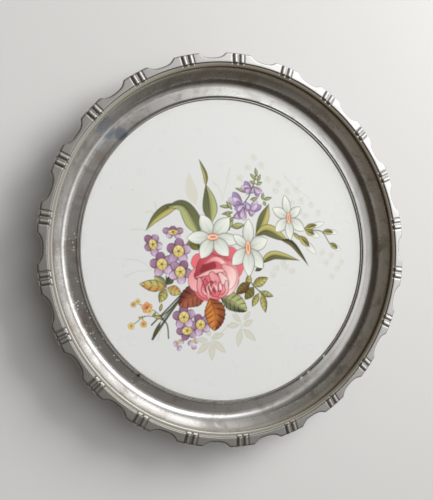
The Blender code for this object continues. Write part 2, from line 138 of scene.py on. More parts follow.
# ---------------------------------------------------------------- tray rim
# The frame's own sizes, in millimetres
rim_low, rim_high = (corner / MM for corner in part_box("tray_rim"))
plate_low, plate_high = (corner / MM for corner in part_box("inlay_plate"))
PLATE_TOP = plate_high.z
TRAY_R = 200.0
ROOT_R = 190.0
SEEN_R = 157.1
LIP_TOP = rim_high.z - 1.3
SCALLOPS = 22
PITCH = 360.0 / SCALLOPS
FIRST_TAB = 6.4
NOTCH_HALF = PITCH * 0.26
NOTCH_DEPTH = 5.3
RIB_OFFSET = 1.025  # degrees from the tab's middle to each rib
RIB_HALF = 2.35
RIB_RISE = 1.28


def outer_radius(theta):
    """The tray's edge: round tabs with a shallow round notch between each two."""
    from_tab = (theta - FIRST_TAB + PITCH / 2) % PITCH - PITCH / 2
    from_notch = PITCH / 2 - np.abs(from_tab)
    q = np.clip(from_notch / NOTCH_HALF, 0.0, 1.35)
    # a circle's bow inside the notch, eased where it meets the tab
    bow = np.sqrt(np.clip(1.0 - (0.93 * q) ** 2, 0.0, 1.0))
    base = math.sqrt(1.0 - 0.93**2)
    depth = np.clip((bow - base) / (1.0 - base), 0.0, 1.0)
    depth = depth * depth * (3 - 2 * depth) * 0.45 + depth * 0.55
    return TRAY_R - NOTCH_DEPTH * depth


def rib_lift(theta, radius):
    """Height of the pair of half-round bars on a tab."""
    from_tab = (theta - FIRST_TAB + PITCH / 2) % PITCH - PITCH / 2
    lift = np.zeros(np.broadcast(theta, radius).shape)
    for offset in (-RIB_OFFSET, RIB_OFFSET):
        across = np.radians(from_tab - offset) * radius / RIB_HALF
        bar = np.sqrt(np.clip(1.0 - across**2, 0.0, 1.0))
        lift = np.maximum(lift, bar)
    # a worn groove beside each bar
    groove = np.zeros_like(lift)
    for offset in (-RIB_OFFSET, RIB_OFFSET):
        for side in (-1.0, 1.0):
            across = (np.radians(from_tab - offset) * radius - side * (RIB_HALF + 0.35)) / 0.75
            groove = np.maximum(groove, np.exp(-across**2))
    ends = smoothstep(187.9, 189.0, radius) * (1 - smoothstep(199.3, 200.2, radius))
    return (RIB_RISE * lift - 0.55 * groove * (lift < 0.05)) * ends


def rim_profile():
    """The rim's section from the rolled bead over the plate, out and up the cove
    to the ledge: (radius, height), and the underside back again."""
    top = spline_through(
        [
            (SEEN_R + 0.25, PLATE_TOP + 0.08),
            (SEEN_R, PLATE_TOP + 0.55),
            (SEEN_R + 0.3, PLATE_TOP + 1.0),
            (157.9, PLATE_TOP + 1.22),
            (158.7, PLATE_TOP + 1.1),
            (159.6, PLATE_TOP + 0.5),
            (160.6, PLATE_TOP - 0.5),
            (161.8, PLATE_TOP - 0.86),
            (164.5, PLATE_TOP - 1.14),
            (168.5, PLATE_TOP - 1.5),
            (171.0, PLATE_TOP - 1.6),
            (173.0, PLATE_TOP - 1.15),
            (175.4, PLATE_TOP + 0.15),
            (178.4, PLATE_TOP + 3.7),
            (181.2, PLATE_TOP + 9.5),
            (183.4, PLATE_TOP + 15.7),
            (184.9, LIP_TOP - 2.25),
            (185.7, LIP_TOP - 1.5),
            (186.8, LIP_TOP - 1.22),
            (188.4, LIP_TOP - 1.05),
            (189.5, LIP_TOP - 1.02),
        ],
        [2, 2, 2, 2, 2, 3, 3, 3, 3, 3, 3, 4, 4, 4, 4, 2, 2, 2, 2],
    )
    under = spline_through(
        [
            (187.3, LIP_TOP - 2.55),
            (186.1, LIP_TOP - 3.05),
            (184.7, PLATE_TOP + 15.1),
            (182.5, PLATE_TOP + 8.9),
            (179.4, PLATE_TOP + 2.3),
            (176.1, PLATE_TOP - 2.0),
            (172.4, PLATE_TOP - 3.8),
            (170.2, PLATE_TOP - 3.85),
            (167.2, PLATE_TOP - 3.2),
            (163.3, PLATE_TOP - 2.2),
            (161.3, PLATE_TOP - 1.75),
            (160.0, PLATE_TOP - 1.1),
            (159.4, PLATE_TOP - 0.15),
            (158.4, PLATE_TOP + 0.02),
        ],
        [1, 2, 3, 3, 3, 3, 2, 2, 2, 2, 2, 2, 2],
    )
    return top, under


def build_rim():
    fine = np.arange(-2.35, 2.3501, 0.1175)
    gap = np.linspace(2.35, PITCH - 2.35, 33)[1:-1]
    theta = np.concatenate(
        [FIRST_TAB + k * PITCH + np.concatenate([fine, gap]) for k in range(SCALLOPS)]
    )
    top, under = rim_profile()
    outer = outer_radius(theta)
    columns = []  # each is (radius, height) arrays over theta
    for r, z in top:
        columns.append((np.full_like(theta, r), np.full_like(theta, z)))
    # the step up from the ledge to the flat lip
    for r, z in ((189.82, -0.85), (189.98, -0.45), (190.08, -0.15), (190.35, -0.02), (190.8, 0.0)):
        rr = np.full_like(theta, r)
        columns.append((rr, LIP_TOP + z + rib_lift(theta, rr) * (1.0 if z > -0.3 else 0.75)))
    # the lip, with a broad rounded shoulder at its edge
    for share in (0.14, 0.28, 0.42, 0.56, 0.7, 0.84, 1.0):
        rr = 190.8 + (outer - 2.1 - 190.8) * share
        columns.append((rr, LIP_TOP + rib_lift(theta, rr)))
    for angle in (15, 30, 45, 60, 75, 90):
        a = math.radians(angle)
        rr = outer - 2.1 + 2.1 * math.sin(a)
        zz = LIP_TOP - 1.15 * (1 - math.cos(a))
        columns.append((rr, zz + rib_lift(theta, rr) * max(0.0, math.cos(a) * 0.9 + 0.1)))
    for angle in (30, 60, 90):
        a = math.radians(angle)
        columns.append((outer - 0.85 * (1 - math.cos(a)), np.full_like(theta, LIP_TOP - 1.15 - 0.85 * math.sin(a))))
    for r in (192.5, 189.5):
        columns.append((np.full_like(theta, r), np.full_like(theta, LIP_TOP - 2.0 - (0.15 if r < 190 else 0.0))))
    for r, z in under:
        columns.append((np.full_like(theta, r), np.full_like(theta, z)))
    rad = np.stack([c[0] for c in columns], axis=1)
    hgt = np.stack([c[1] for c in columns], axis=1)
    ang = np.radians(theta)[:, None]
    verts = np.stack([rad * np.cos(ang), rad * np.sin(ang), hgt], axis=-1).reshape(-1, 3)
    # points run outwards along the top, so this winding faces up
    faces = grid_faces(len(theta), rad.shape[1], True, True)[:, ::-1]
    rim = mesh_object("rim_pressing", verts, faces, "tray")
    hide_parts("tray_rim")
    return rim


rim = build_rim()


# ---------------------------------------------------------------- material helpers
class Nodes:
    """A short way to write a node tree."""

    def __init__(self, name):
        self.mat = bpy.data.materials.new(name)
        self.mat.use_nodes = True
        self.tree = self.mat.node_tree
        self.bsdf = self.tree.nodes["Principled BSDF"]
        self.coords = self.add("ShaderNodeTexCoord").outputs["Object"]

    def add(self, kind, **settings):
        node = self.tree.nodes.new(kind)
        for key, value in settings.items():
            setattr(node, key, value)
        return node

    def link(self, value, socket):
        if isinstance(value, (int, float)):
            socket.default_value = value
        elif isinstance(value, (tuple, list)):
            length = len(socket.default_value)
            value = tuple(value)
            socket.default_value = value + (1.0,) * (length - len(value))
        else:
            self.tree.links.new(value, socket)

    def math(self, operation, a, b=0.0, c=None, clamp=False):
        node = self.add("ShaderNodeMath", operation=operation, use_clamp=clamp)
        self.link(a, node.inputs[0])
        self.link(b, node.inputs[1])
        if c is not None:
            self.link(c, node.inputs[2])
        return node.outputs[0]

    def vector(self, operation, a, b=(0.0, 0.0, 0.0), out=0):
        node = self.add("ShaderNodeVectorMath", operation=operation)
        self.link(a, node.inputs[0])
        self.link(b, node.inputs[1])
        return node.outputs[out]

    def length(self, a):
        return self.vector("LENGTH", a, out="Value")

    def scaled(self, factors):
        return self.vector("MULTIPLY", self.coords, factors)

    def noise(self, scale, detail=3.0, rough=0.55, where=None, distort=0.0):
        node = self.add("ShaderNodeTexNoise")
        self.link(where if where is not None else self.coords, node.inputs["Vector"])
        node.inputs["Scale"].default_value = scale
        node.inputs["Detail"].default_value = detail
        node.inputs["Roughness"].default_value = rough
        node.inputs["Distortion"].default_value = distort
        return node.outputs["Fac"]

    def cells(self, scale, where=None, feature="F1", out="Distance"):
        node = self.add("ShaderNodeTexVoronoi", feature=feature)
        self.link(where if where is not None else self.coords, node.inputs["Vector"])
        node.inputs["Scale"].default_value = scale
        return node.outputs[out]

    def ramp(self, value, low, high, to_low=0.0, to_high=1.0, smooth=True):
        node = self.add("ShaderNodeMapRange")
        node.interpolation_type = "SMOOTHSTEP" if smooth else "LINEAR"
        self.link(value, node.inputs["Value"])
        self.link(low, node.inputs["From Min"])
        self.link(high, node.inputs["From Max"])
        self.link(to_low, node.inputs["To Min"])
        self.link(to_high, node.inputs["To Max"])
        return node.outputs["Result"]

    def mix(self, factor, a, b, kind="MIX"):
        node = self.add("ShaderNodeMix", data_type="RGBA", blend_type=kind)
        self.link(factor, node.inputs["Factor"])
        self.link(a, node.inputs["A"])
        self.link(b, node.inputs["B"])
        return node.outputs["Result"]

    def bump(self, height, distance, strength=1.0, normal=None):
        node = self.add("ShaderNodeBump")
        self.link(height, node.inputs["Height"])
        node.inputs["Distance"].default_value = distance
        node.inputs["Strength"].default_value = strength
        if normal is not None:
            self.link(normal, node.inputs["Normal"])
        return node.outputs["Normal"]

    def near(self, x, y, radius, soft=0.5):
        """1 near a place on the tray, in millimetres, with a ragged edge."""
        flat = self.vector("MULTIPLY", self.coords, (1.0, 1.0, 0.0))
        gap = self.length(self.vector("SUBTRACT", flat, (x * MM, y * MM, 0.0)))
        ragged = self.math("ADD", gap, self.math("MULTIPLY", self.ragged(), radius * MM * 0.9))
        return self.ramp(ragged, radius * MM * (1 + soft), radius * MM * (1 - soft))

    def ragged(self):
        if not hasattr(self, "_ragged"):
            self._ragged = self.math("SUBTRACT", self.noise(170.0, 3.0, 0.6), 0.5)
        return self._ragged

    def set(self, **values):
        names = {
            "colour": "Base Color",
            "metallic": "Metallic",
            "roughness": "Roughness",
            "normal": "Normal",
            "specular": "Specular IOR Level",
            "coat": "Coat Weight",
            "coat_roughness": "Coat Roughness",
            "sheen": "Sheen Weight",
        }
        for key, value in values.items():
            self.link(value, self.bsdf.inputs[names[key]])
        return self.mat


def dress(obj, mat):
    obj.data.materials.clear()
    obj.data.materials.append(mat)


def pewter():
    n = Nodes("pewter")
    parts = n.add("ShaderNodeSeparateXYZ")
    n.link(n.coords, parts.inputs[0])
    flat = n.vector("MULTIPLY", n.coords, (1.0, 1.0, 0.0))
    radius = n.length(flat)
    # towards_light runs from -1 on the far side of the tray to 1 on the side the light comes from; the painted light
    # and shade below, and the tarnish, follow it
    towards_light = n.math("DIVIDE", n.vector("DOT_PRODUCT", flat, (0.93, 0.36, 0.0), out="Value"), radius)

    def band(inner, full_in, full_out, outer):
        """1 between two radii in millimetres, fading to 0 on both sides."""
        return n.math("MULTIPLY", n.ramp(radius, inner * MM, full_in * MM), n.ramp(radius, outer * MM, full_out * MM))

    # fine rings left by spinning: noise that changes only with the radius and height
    rings = n.add("ShaderNodeCombineXYZ")
    n.link(radius, rings.inputs[0])
    n.link(parts.outputs[2], rings.inputs[1])
    fine = n.noise(1900.0, 2.0, 0.6, rings.outputs[0])
    broad = n.noise(420.0, 2.0, 0.6, rings.outputs[0])
    cloud = n.noise(22.0, 4.0, 0.6)
    stain = n.noise(48.0, 5.0, 0.65, distort=0.6)
    blots = n.noise(95.0, 4.0, 0.6)
    colour = n.mix(cloud, (0.50, 0.485, 0.46), (0.62, 0.61, 0.595))
    colour = n.mix(n.math("MULTIPLY", broad, 0.5), colour, (0.42, 0.40, 0.37))
    # khaki tarnish that gathers on the ledge and the cove's upper wall
    ledge_tint = n.mix(stain, (0.33, 0.295, 0.22), (0.47, 0.435, 0.35))
    tarnish = n.math("MULTIPLY", band(180.5, 184.5, 189.7, 190.2), n.ramp(towards_light, -0.8, 0.3, 0.45, 0.85))
    colour = n.mix(tarnish, colour, ledge_tint)
    # painted shade: a dark band beside the bead, strongest on the side facing the light, and a darker inner face of the
    # bead all round; a blotchy darker line along the cove's bottom and a darker line at the foot of the lip
    # painted shade beside the bead, heavier towards the light's side
    painted_bead_shade = n.math("MULTIPLY", band(158.6, 159.3, 160.8, 161.6), 0.8)
    facing_light = n.ramp(towards_light, -0.15, 0.75, 0.25, 1.0)
    colour = n.mix(n.math("MULTIPLY", painted_bead_shade, facing_light), colour, (0.10, 0.088, 0.075))
    # painted shade on the bead's inner face, towards the plate
    inner = n.math("MULTIPLY", n.ramp(radius, 0.1581, 0.1575), 0.7)
    colour = n.mix(inner, colour, (0.16, 0.145, 0.125))
    colour = n.mix(n.math("MULTIPLY", band(171.2, 171.9, 172.4, 173.0), n.ramp(blots, 0.35, 0.65, 0.1, 0.55)), colour, (0.20, 0.175, 0.15))
    colour = n.mix(n.math("MULTIPLY", band(189.4, 189.8, 189.95, 190.15), 0.75), colour, (0.12, 0.105, 0.09))
    # brown stains in the cove
    brown = n.ramp(stain, 0.47, 0.66)
    cove = band(158.5, 160.5, 180.0, 188.0)
    colour = n.mix(n.math("MULTIPLY", n.math("MULTIPLY", brown, cove), 0.55), colour, (0.27, 0.20, 0.14))
    # a blue-grey worn patch of two lobes
    patch = n.math("MAXIMUM", n.near(-126.5, 119.5, 7.2, 0.35), n.near(-114.0, 117.0, 6.6, 0.35))
    colour = n.mix(n.math("MULTIPLY", patch, 0.85), colour, (0.20, 0.235, 0.28))
    # white limescale specks on the left, cloudy spots by the bead at the lower right
    scale_spots = n.math("MULTIPLY", n.ramp(n.cells(330.0), 0.34, 0.12), n.ramp(n.noise(120.0, 2.0), 0.50, 0.58))
    left = n.math("MULTIPLY", n.ramp(towards_light, -0.80, -0.93), band(159.5, 161.5, 180.0, 184.0))
    white = n.math("MULTIPLY", scale_spots, left)
    spots = n.math("MAXIMUM", n.near(75.0, -143.0, 2.0), n.math("MAXIMUM", n.near(84.0, -137.5, 1.6), n.near(104.0, -122.0, 2.0)))
    white = n.math("MAXIMUM", white, n.math("MULTIPLY", spots, 0.8))
    pits = n.math("MAXIMUM", n.near(-105.4, -121.2, 1.5), n.near(-148.0, -47.0, 1.0))
    colour = n.mix(n.math("MULTIPLY", pits, 0.85), colour, (0.05, 0.042, 0.035))
    # painted light and shade in tarnish colours: the cove's upper wall is darkened on the side facing the light, the
    # lip is painted lighter on that side and a little darker on the far side
    painted_wall_shade = n.math("MULTIPLY", band(175.5, 182.5, 187.5, 189.0), n.ramp(towards_light, -0.5, 0.55))
    colour = n.mix(n.math("MULTIPLY", painted_wall_shade, 0.75), colour, n.mix(stain, (0.15, 0.105, 0.068), (0.10, 0.085, 0.07)))
    lip = n.ramp(radius, 0.1908, 0.1922)
    # painted highlight: the lip is lighter on the side facing the light
    colour = n.mix(n.math("MULTIPLY", lip, n.ramp(towards_light, -0.1, 0.7)), colour, n.mix(cloud, (0.60, 0.595, 0.58), (0.72, 0.715, 0.70)))
    # painted shade: the lip is a little darker on the far side
    colour = n.mix(n.math("MULTIPLY", lip, n.ramp(towards_light, 0.1, -0.6, 0.0, 0.25)), colour, (0.30, 0.27, 0.23))
    # painted highlight: the cove's wall on the far side, which faces the light, is painted near-white, broken up by the
    # stains
    painted_wall_highlight = n.math("MULTIPLY", band(172.2, 174.5, 180.0, 186.0), n.ramp(towards_light, 0.05, -0.65))
    painted_wall_highlight = n.math("MULTIPLY", painted_wall_highlight, n.ramp(stain, 0.72, 0.45, 0.55, 1.0))
    colour = n.mix(painted_wall_highlight, colour, (0.97, 0.965, 0.96))
    # the cove's floor on the side facing the light is made rougher, and painted near-white and less metallic as a
    # painted sheen
    matt_and_painted_sheen = n.math("MULTIPLY", band(161.2, 163.5, 172.2, 174.6), n.ramp(towards_light, -0.15, 0.75, 0.0, 0.85))
    matt_and_painted_sheen = n.math("MULTIPLY", matt_and_painted_sheen, n.ramp(broad, 0.30, 0.62, 0.7, 1.0))
    rough = n.ramp(cloud, 0.3, 0.7, 0.19, 0.28)
    rough = n.math("ADD", rough, n.math("MULTIPLY", brown, 0.12))
    rough = n.math("ADD", rough, n.math("MULTIPLY", patch, 0.18))
    rough = n.math("ADD", rough, n.math("MULTIPLY", matt_and_painted_sheen, 0.15))
    height_map = n.math("ADD", n.math("MULTIPLY", fine, 0.5), n.math("MULTIPLY", n.noise(900.0, 2.0), 0.6))
    normal = n.bump(height_map, 0.00002, 0.35)
    n.set(colour=colour, metallic=1.0, roughness=rough, normal=normal)
    # the cove floor's painted sheen and the white deposit are laid over the metal as a dull, less metallic film
    colour = n.mix(matt_and_painted_sheen, colour, (0.86, 0.85, 0.83))
    colour = n.mix(white, colour, (0.62, 0.61, 0.58))
    metallic = n.math("SUBTRACT", 1.0, n.math("MULTIPLY", n.math("MAXIMUM", white, matt_and_painted_sheen), 0.9))
    return n.set(colour=colour, metallic=metallic)


dress(rim, pewter())


# ---------------------------------------------------------------- the printed bouquet
# The print is painted into a colour attribute on the plate's own grid of points.
# Every stroke is a ribbon: a line with a width, shaded along and across.
PRINT_STEP = 0.55
PRINT_X = (-120.0, 146.0)
PRINT_Y = (-124.0, 108.0)
PAPER = (0.732, 0.746, 0.732)


def rgb(r, g, b):
    """A printed colour given the way it looks, as the linear value that shades it."""
    c = np.array([r, g, b], float) / 255.0
    return np.where(c <= 0.04045, c / 12.92, ((c + 0.055) / 1.055) ** 2.4)


class Print:
    def __init__(self):
        self.x = np.arange(PRINT_X[0], PRINT_X[1] + 0.01, PRINT_STEP)
        self.y = np.arange(PRINT_Y[0], PRINT_Y[1] + 0.01, PRINT_STEP)
        self.ink = np.ones((len(self.x), len(self.y), 3)) * np.array(PAPER)

    def ribbon(self, line, width, colour, alpha=1.0, soft=0.55, steps=14):
        """line: 2 to 5 points; width(s): half width in mm; colour(s, q, d): the ink,
        with s along, q across from -1 to 1 and d the distance to the edge in mm."""
        path = curve(line, steps)
        s_of = np.concatenate([[0.0], np.cumsum(np.linalg.norm(np.diff(path, axis=0), axis=1))])
        total = max(s_of[-1], 1e-6)
        s_of = s_of / total
        half = width(s_of)
        reach = float(np.max(half)) + 1.5
        low, high = path.min(0) - reach, path.max(0) + reach
        i0, i1 = np.searchsorted(self.x, low[0]), np.searchsorted(self.x, high[0])
        j0, j1 = np.searchsorted(self.y, low[1]), np.searchsorted(self.y, high[1])
        if i1 <= i0 or j1 <= j0:
            return
        px, py = np.meshgrid(self.x[i0:i1], self.y[j0:j1], indexing="ij")
        best = np.full(px.shape, 1e9)
        s = np.zeros(px.shape)
        side = np.zeros(px.shape)
        for k in range(len(path) - 1):
            a, b = path[k], path[k + 1]
            d = b - a
            length2 = max(float(d @ d), 1e-12)
            t = np.clip(((px - a[0]) * d[0] + (py - a[1]) * d[1]) / length2, 0.0, 1.0)
            ox, oy = px - (a[0] + t * d[0]), py - (a[1] + t * d[1])
            gap = ox * ox + oy * oy
            near = gap < best
            best = np.where(near, gap, best)
            s = np.where(near, s_of[k] + t * (s_of[k + 1] - s_of[k]), s)
            side = np.where(near, np.sign(d[0] * oy - d[1] * ox), side)
        gap = np.sqrt(best)
        w = width(s)
        edge = w - gap
        cover = np.clip(edge / soft + 0.5, 0.0, 1.0) * alpha
        q = side * np.clip(gap / np.maximum(w, 0.05), 0.0, 1.0)
        ink = colour(s, q, edge)
        window = self.ink[i0:i1, j0:j1]
        window += cover[..., None] * (ink - window)

    def at(self, x, y):
        """The ink at places on the plate, blended between the print's points."""
        fx = np.clip((x - self.x[0]) / PRINT_STEP, 0, len(self.x) - 1.001)
        fy = np.clip((y - self.y[0]) / PRINT_STEP, 0, len(self.y) - 1.001)
        i, j = fx.astype(int), fy.astype(int)
        a, b = (fx - i)[..., None], (fy - j)[..., None]
        t = self.ink
        return (
            t[i, j] * (1 - a) * (1 - b) + t[i + 1, j] * a * (1 - b)
            + t[i, j + 1] * (1 - a) * b + t[i + 1, j + 1] * a * b
        )


def curve(points, steps):
    """A smooth line: straight for 2 points, otherwise through them all."""
    p = np.asarray(points, float)
    if len(p) == 2:
        t = np.linspace(0, 1, max(3, steps // 2))[:, None]
        return p[0] * (1 - t) + p[1] * t
    return spline_through(p, max(3, steps // (len(p) - 1) + 2))


def turn(point, centre, degrees, squash=1.0, axis=0.0):
    """A point placed round a centre, flattened to squash along an axis."""
    a = math.radians(degrees)
    x = point[0] * math.cos(a) - point[1] * math.sin(a)
    y = point[0] * math.sin(a) + point[1] * math.cos(a)
    if squash != 1.0:
        b = math.radians(axis)
        u = (x * math.cos(b) + y * math.sin(b)) * squash
        v = -x * math.sin(b) + y * math.cos(b)
        x, y = u * math.cos(b) - v * math.sin(b), u * math.sin(b) + v * math.cos(b)
    return (centre[0] + x, centre[1] + y)


def blend3(a, b, t):
    t = np.clip(t, 0.0, 1.0)[..., None]
    return a * (1 - t) + b * t


def petal_width(half, fat=0.55, base=0.25, point=0.75):
    """A petal: narrow at its base, widest at fat, with a blunt or pointed end."""

    def width(s):
        s = np.asarray(s, float)
        rise = base + (1 - base) * np.sin(np.clip(s / fat, 0, 1) * math.pi / 2) ** 1.1
        fall = np.clip(1 - np.clip((s - fat) / (1 - fat), 0, 1) ** (2.2), 0, 1) ** point
        return half * np.minimum(rise, 1.0) * fall

    return width


def leaf_width(half, fat=0.42, sharp=1.15):
    def width(s):
        s = np.asarray(s, float)
        up = np.sin(np.clip(s / fat, 0, 1) * math.pi / 2)
        down = np.cos(np.clip((s - fat) / (1 - fat), 0, 1) * math.pi / 2)
        return half * np.where(s < fat, up, down**sharp)

    return width


def round_width(half):
    return lambda s: half * np.sqrt(np.clip(1 - (2 * np.asarray(s, float) - 1) ** 2, 0, 1))


def even_width(half, tip=1.0):
    return lambda s: half * (1 - (1 - tip) * np.asarray(s, float))


def flat_ink(colour):
    colour = np.asarray(colour, float)
    return lambda s, q, d: np.broadcast_to(colour, s.shape + (3,))


def petal_ink(base, tip, line, shade=None, line_mm=0.55, line_share=0.75, dark_side=0.0, base_dark=0.0):
    """Petal shading: base to tip, a darker outline, soft streaks and a shaded side."""
    base, tip, line = (np.asarray(c, float) for c in (base, tip, line))
    shade = line if shade is None else np.asarray(shade, float)

    def ink(s, q, d):
        c = blend3(base, tip, s**0.8)
        streak = 0.5 + 0.5 * np.cos(q * 9.0)
        c = blend3(c, shade, 0.16 * streak * (1 - s) ** 1.2)
        if dark_side:
            c = blend3(c, shade, 0.55 * abs(dark_side) * np.clip(q * math.copysign(1, dark_side), 0, 1) ** 1.5)
        if base_dark:
            c = blend3(c, shade, base_dark * np.clip(1 - s / 0.35, 0, 1))
        rim_line = np.clip(1.25 - d / line_mm, 0, 1) * line_share
        return blend3(c, line, rim_line)

    return ink


def leaf_ink(light, dark, line, veins=0, vein=None, split=0.5, line_share=0.7, gold=None):
    """Leaf shading: one half lighter, a midrib, side veins and a darker outline."""
    light, dark, line = (np.asarray(c, float) for c in (light, dark, line))
    vein = line if vein is None else np.asarray(vein, float)

    def ink(s, q, d):
        tone = smoothstep(-0.25, 0.55, q) * split + 0.5 * (1 - split) + 0.18 * np.cos(s * 5 + q * 2)
        c = blend3(light, dark, tone)
        if gold is not None:
            c = blend3(c, np.asarray(gold, float), np.clip(1 - np.abs(q + 0.45) / 0.35, 0, 1) * 0.6)
        if veins:
            phase = (s - np.abs(q) * 0.16) * veins
            near = np.abs(phase - np.round(phase))
            c = blend3(c, vein, np.clip(1 - near / 0.2, 0, 1) * 0.8 * np.clip(np.abs(q) * 3, 0, 1))
            c = blend3(c, light, np.clip(1 - np.abs(near - 0.32) / 0.12, 0, 1) * 0.25)
        c = blend3(c, vein, np.clip(1 - np.abs(q) / 0.13, 0, 1) * 0.7 * (1 - s))
        return blend3(c, line, np.clip(1.3 - d / 0.8, 0, 1) * line_share)

    return ink


INK = {
    "outline": rgb(86, 74, 70),
    "green_dark": rgb(58, 62, 46),
    "green": rgb(110, 115, 76),
    "green_light": rgb(190, 194, 140),
    "olive": rgb(132, 126, 66),
    "olive_light": rgb(204, 196, 126),
    "white": rgb(238, 240, 232),
    "white_cool": rgb(214, 220, 212),
    "pink": rgb(226, 120, 130),
    "pink_light": rgb(244, 196, 196),
    "pink_pale": rgb(250, 226, 222),
    "pink_deep": rgb(186, 72, 84),
    "rose_line": rgb(128, 52, 56),
    "violet": rgb(162, 120, 152),
    "violet_light": rgb(228, 214, 232),
    "violet_deep": rgb(92, 62, 88),
    "lilac": rgb(174, 156, 196),
    "yellow": rgb(226, 206, 122),
    "brown": rgb(124, 62, 40),
    "brown_dark": rgb(70, 34, 28),
    "amber": rgb(206, 138, 72),
    "ghost": rgb(206, 207, 192),
    "ghost_beige": rgb(214, 208, 190),
    "coral": rgb(220, 126, 104),
}


def long_leaf(p, line, half, light="green_light", dark="green", deep="green_dark", fat=0.45, split=0.9, flip=1.0, alpha=1.0):
    light, dark, deep = INK[light], INK[dark], INK[deep]

    def ink(s, q, d):
        q = q * flip
        c = blend3(light, dark, smoothstep(-0.6, 0.5, q) * split)
        c = blend3(c, deep, np.clip(1 - np.abs(q - 0.15) / 0.28, 0, 1) * np.clip(1.15 - s, 0, 1) * 0.85)
        c = blend3(c, deep, np.clip(1 - np.abs(q - 0.62) / 0.12, 0, 1) * np.clip(0.9 - s, 0, 1) * 0.6)
        c = blend3(c, light, np.clip(1 - np.abs(q + 0.45) / 0.22, 0, 1) * 0.55)
        fine = 0.5 + 0.5 * np.cos(q * 23.0 + s * 2.0)
        c = blend3(c, deep, fine**3 * 0.45 * np.clip(1.2 - 1.1 * s, 0.15, 1))
        return blend3(c, INK["outline"] * 0.7, np.clip(1.3 - d / 0.8, 0, 1) * 0.85)

    p.ribbon(line, leaf_width(half, fat), ink, alpha, steps=24)


def narcissus(p, centre, petals, cup, cup_half, cup_angle):
    """White pointed petals, each (tip, half width), round a small coral cup."""
    for tip, half in petals:
        line = [centre, tip]
        p.ribbon(
            line,
            petal_width(half * 1.04, 0.5, 0.16, 0.92),
            petal_ink(INK["white_cool"] * 0.93, INK["white"], INK["outline"] * 0.9, rgb(140, 148, 134), 0.8, 0.9, 0.5, 0.4),
            steps=10,
        )
        # fine streaks from the middle
        d = np.subtract(tip, centre)
        n = np.array([-d[1], d[0]]) / max(np.hypot(*d), 1e-6)
        for off, reach, strength in ((0.0, 0.62, 0.34), (0.28, 0.48, 0.24), (-0.28, 0.48, 0.24)):
            a = np.add(centre, d * 0.2 + n * half * off * 0.4)
            b = np.add(centre, d * reach + n * half * off)
            p.ribbon([a, b], even_width(0.42, 0.3), flat_ink(rgb(150, 158, 146)), strength)
    a = math.radians(cup_angle)
    u = np.array([math.cos(a), math.sin(a)]) * cup
    ends = [np.subtract(centre, u), np.add(centre, u)]
    p.ribbon(ends, round_width(cup_half + 0.75), flat_ink(rgb(156, 92, 70)), 0.85)
    p.ribbon(ends, round_width(cup_half), petal_ink(rgb(247, 222, 196), rgb(244, 206, 178), rgb(214, 120, 96), None, 0.8, 0.75))
    p.ribbon([np.subtract(centre, u * 0.55), np.add(centre, u * 0.6)], round_width(cup_half * 0.34), flat_ink(rgb(206, 116, 92)), 0.8)


def primula(p, centre, radius, start, squash=1.0, axis=0.0, dark_from=90.0, count=5, tint=0.0):
    """Five round violet petals, darker on one side, round a yellow eye."""
    radius = radius * 0.82
    for k in range(count):
        angle = start + k * 360.0 / count
        side = 0.5 + 0.5 * math.cos(math.radians(angle - dark_from))
        base = INK["violet"] * (0.72 + 0.5 * (1 - side)) + tint
        tip = INK["violet"] * side + INK["violet_light"] * (1 - side)
        near = turn((radius * 0.2, 0.0), centre, angle, squash, axis)
        far = turn((radius * 1.18, 0.0), centre, angle, squash, axis)
        half = radius * 0.46 * (1.0 if squash == 1.0 else 0.5 + 0.5 * squash)
        p.ribbon([near, far], round_width(half), petal_ink(base, tip, INK["violet_deep"] * 0.8, INK["violet_deep"], 0.95, 0.95, 0.3, 0.6), steps=8)
    eye = radius * 0.52
    b = math.radians(axis)
    u = np.array([-math.sin(b), math.cos(b)]) * eye
    ends = [np.subtract(centre, u), np.add(centre, u)]
    p.ribbon(ends, round_width((eye + 0.9) * squash), flat_ink(rgb(84, 60, 58)), 0.9)
    p.ribbon(ends, round_width(eye * squash), petal_ink(rgb(220, 200, 120), rgb(233, 220, 158), rgb(150, 128, 78), None, 0.7, 0.7))
    for k in range(5):
        angle = start + 36 + k * 72.0
        a = turn((eye * 0.35, 0.0), centre, angle, squash, axis)
        c = turn((eye * 0.75, 0.0), centre, angle, squash, axis)
        p.ribbon([a, c], even_width(0.38), flat_ink(rgb(142, 120, 60)), 0.6)
    p.ribbon([np.subtract(centre, u * 0.22), np.add(centre, u * 0.22)], round_width(max(0.9, eye * 0.26)), flat_ink(rgb(72, 66, 40)), 0.95)
    p.ribbon([np.subtract(centre, u * 0.1), np.add(centre, u * 0.1)], round_width(0.45), flat_ink(rgb(206, 200, 120)), 0.8)


def small_leaf(p, base, tip, half, light="olive_light", dark="olive", veins=0, deep="green_dark", flip=1.0, alpha=1.0, bend=0.0):
    base, tip = np.asarray(base, float), np.asarray(tip, float)
    d = tip - base
    mid = (base + tip) / 2 + np.array([-d[1], d[0]]) * bend
    ink = leaf_ink(INK[light], INK[dark], INK[deep] * 0.8, veins, INK[deep], 0.75, 0.9)
    p.ribbon([base, mid, tip], leaf_width(half, 0.45, 0.9), (lambda s, q, dd: ink(s, q * flip, dd)), alpha, steps=10)


def rose_leaf(p, base, tip, half, light, dark, deep, gold=None, flip=1.0, bend=0.0, veins=6.0):
    base, tip = np.asarray(base, float), np.asarray(tip, float)
    d = tip - base
    mid = (base + tip) / 2 + np.array([-d[1], d[0]]) * bend
    ink = leaf_ink(light, dark, deep * 0.8, veins, deep, 0.8, 0.95, gold)

    def width(s):
        s = np.asarray(s, float)
        teeth = 1 + 0.035 * np.sin(s * 70.0)
        return leaf_width(half, 0.42, 0.62)(s) * teeth

    p.ribbon([base, mid, tip], width, (lambda s, q, dd: ink(s, q * flip, dd)), steps=14)


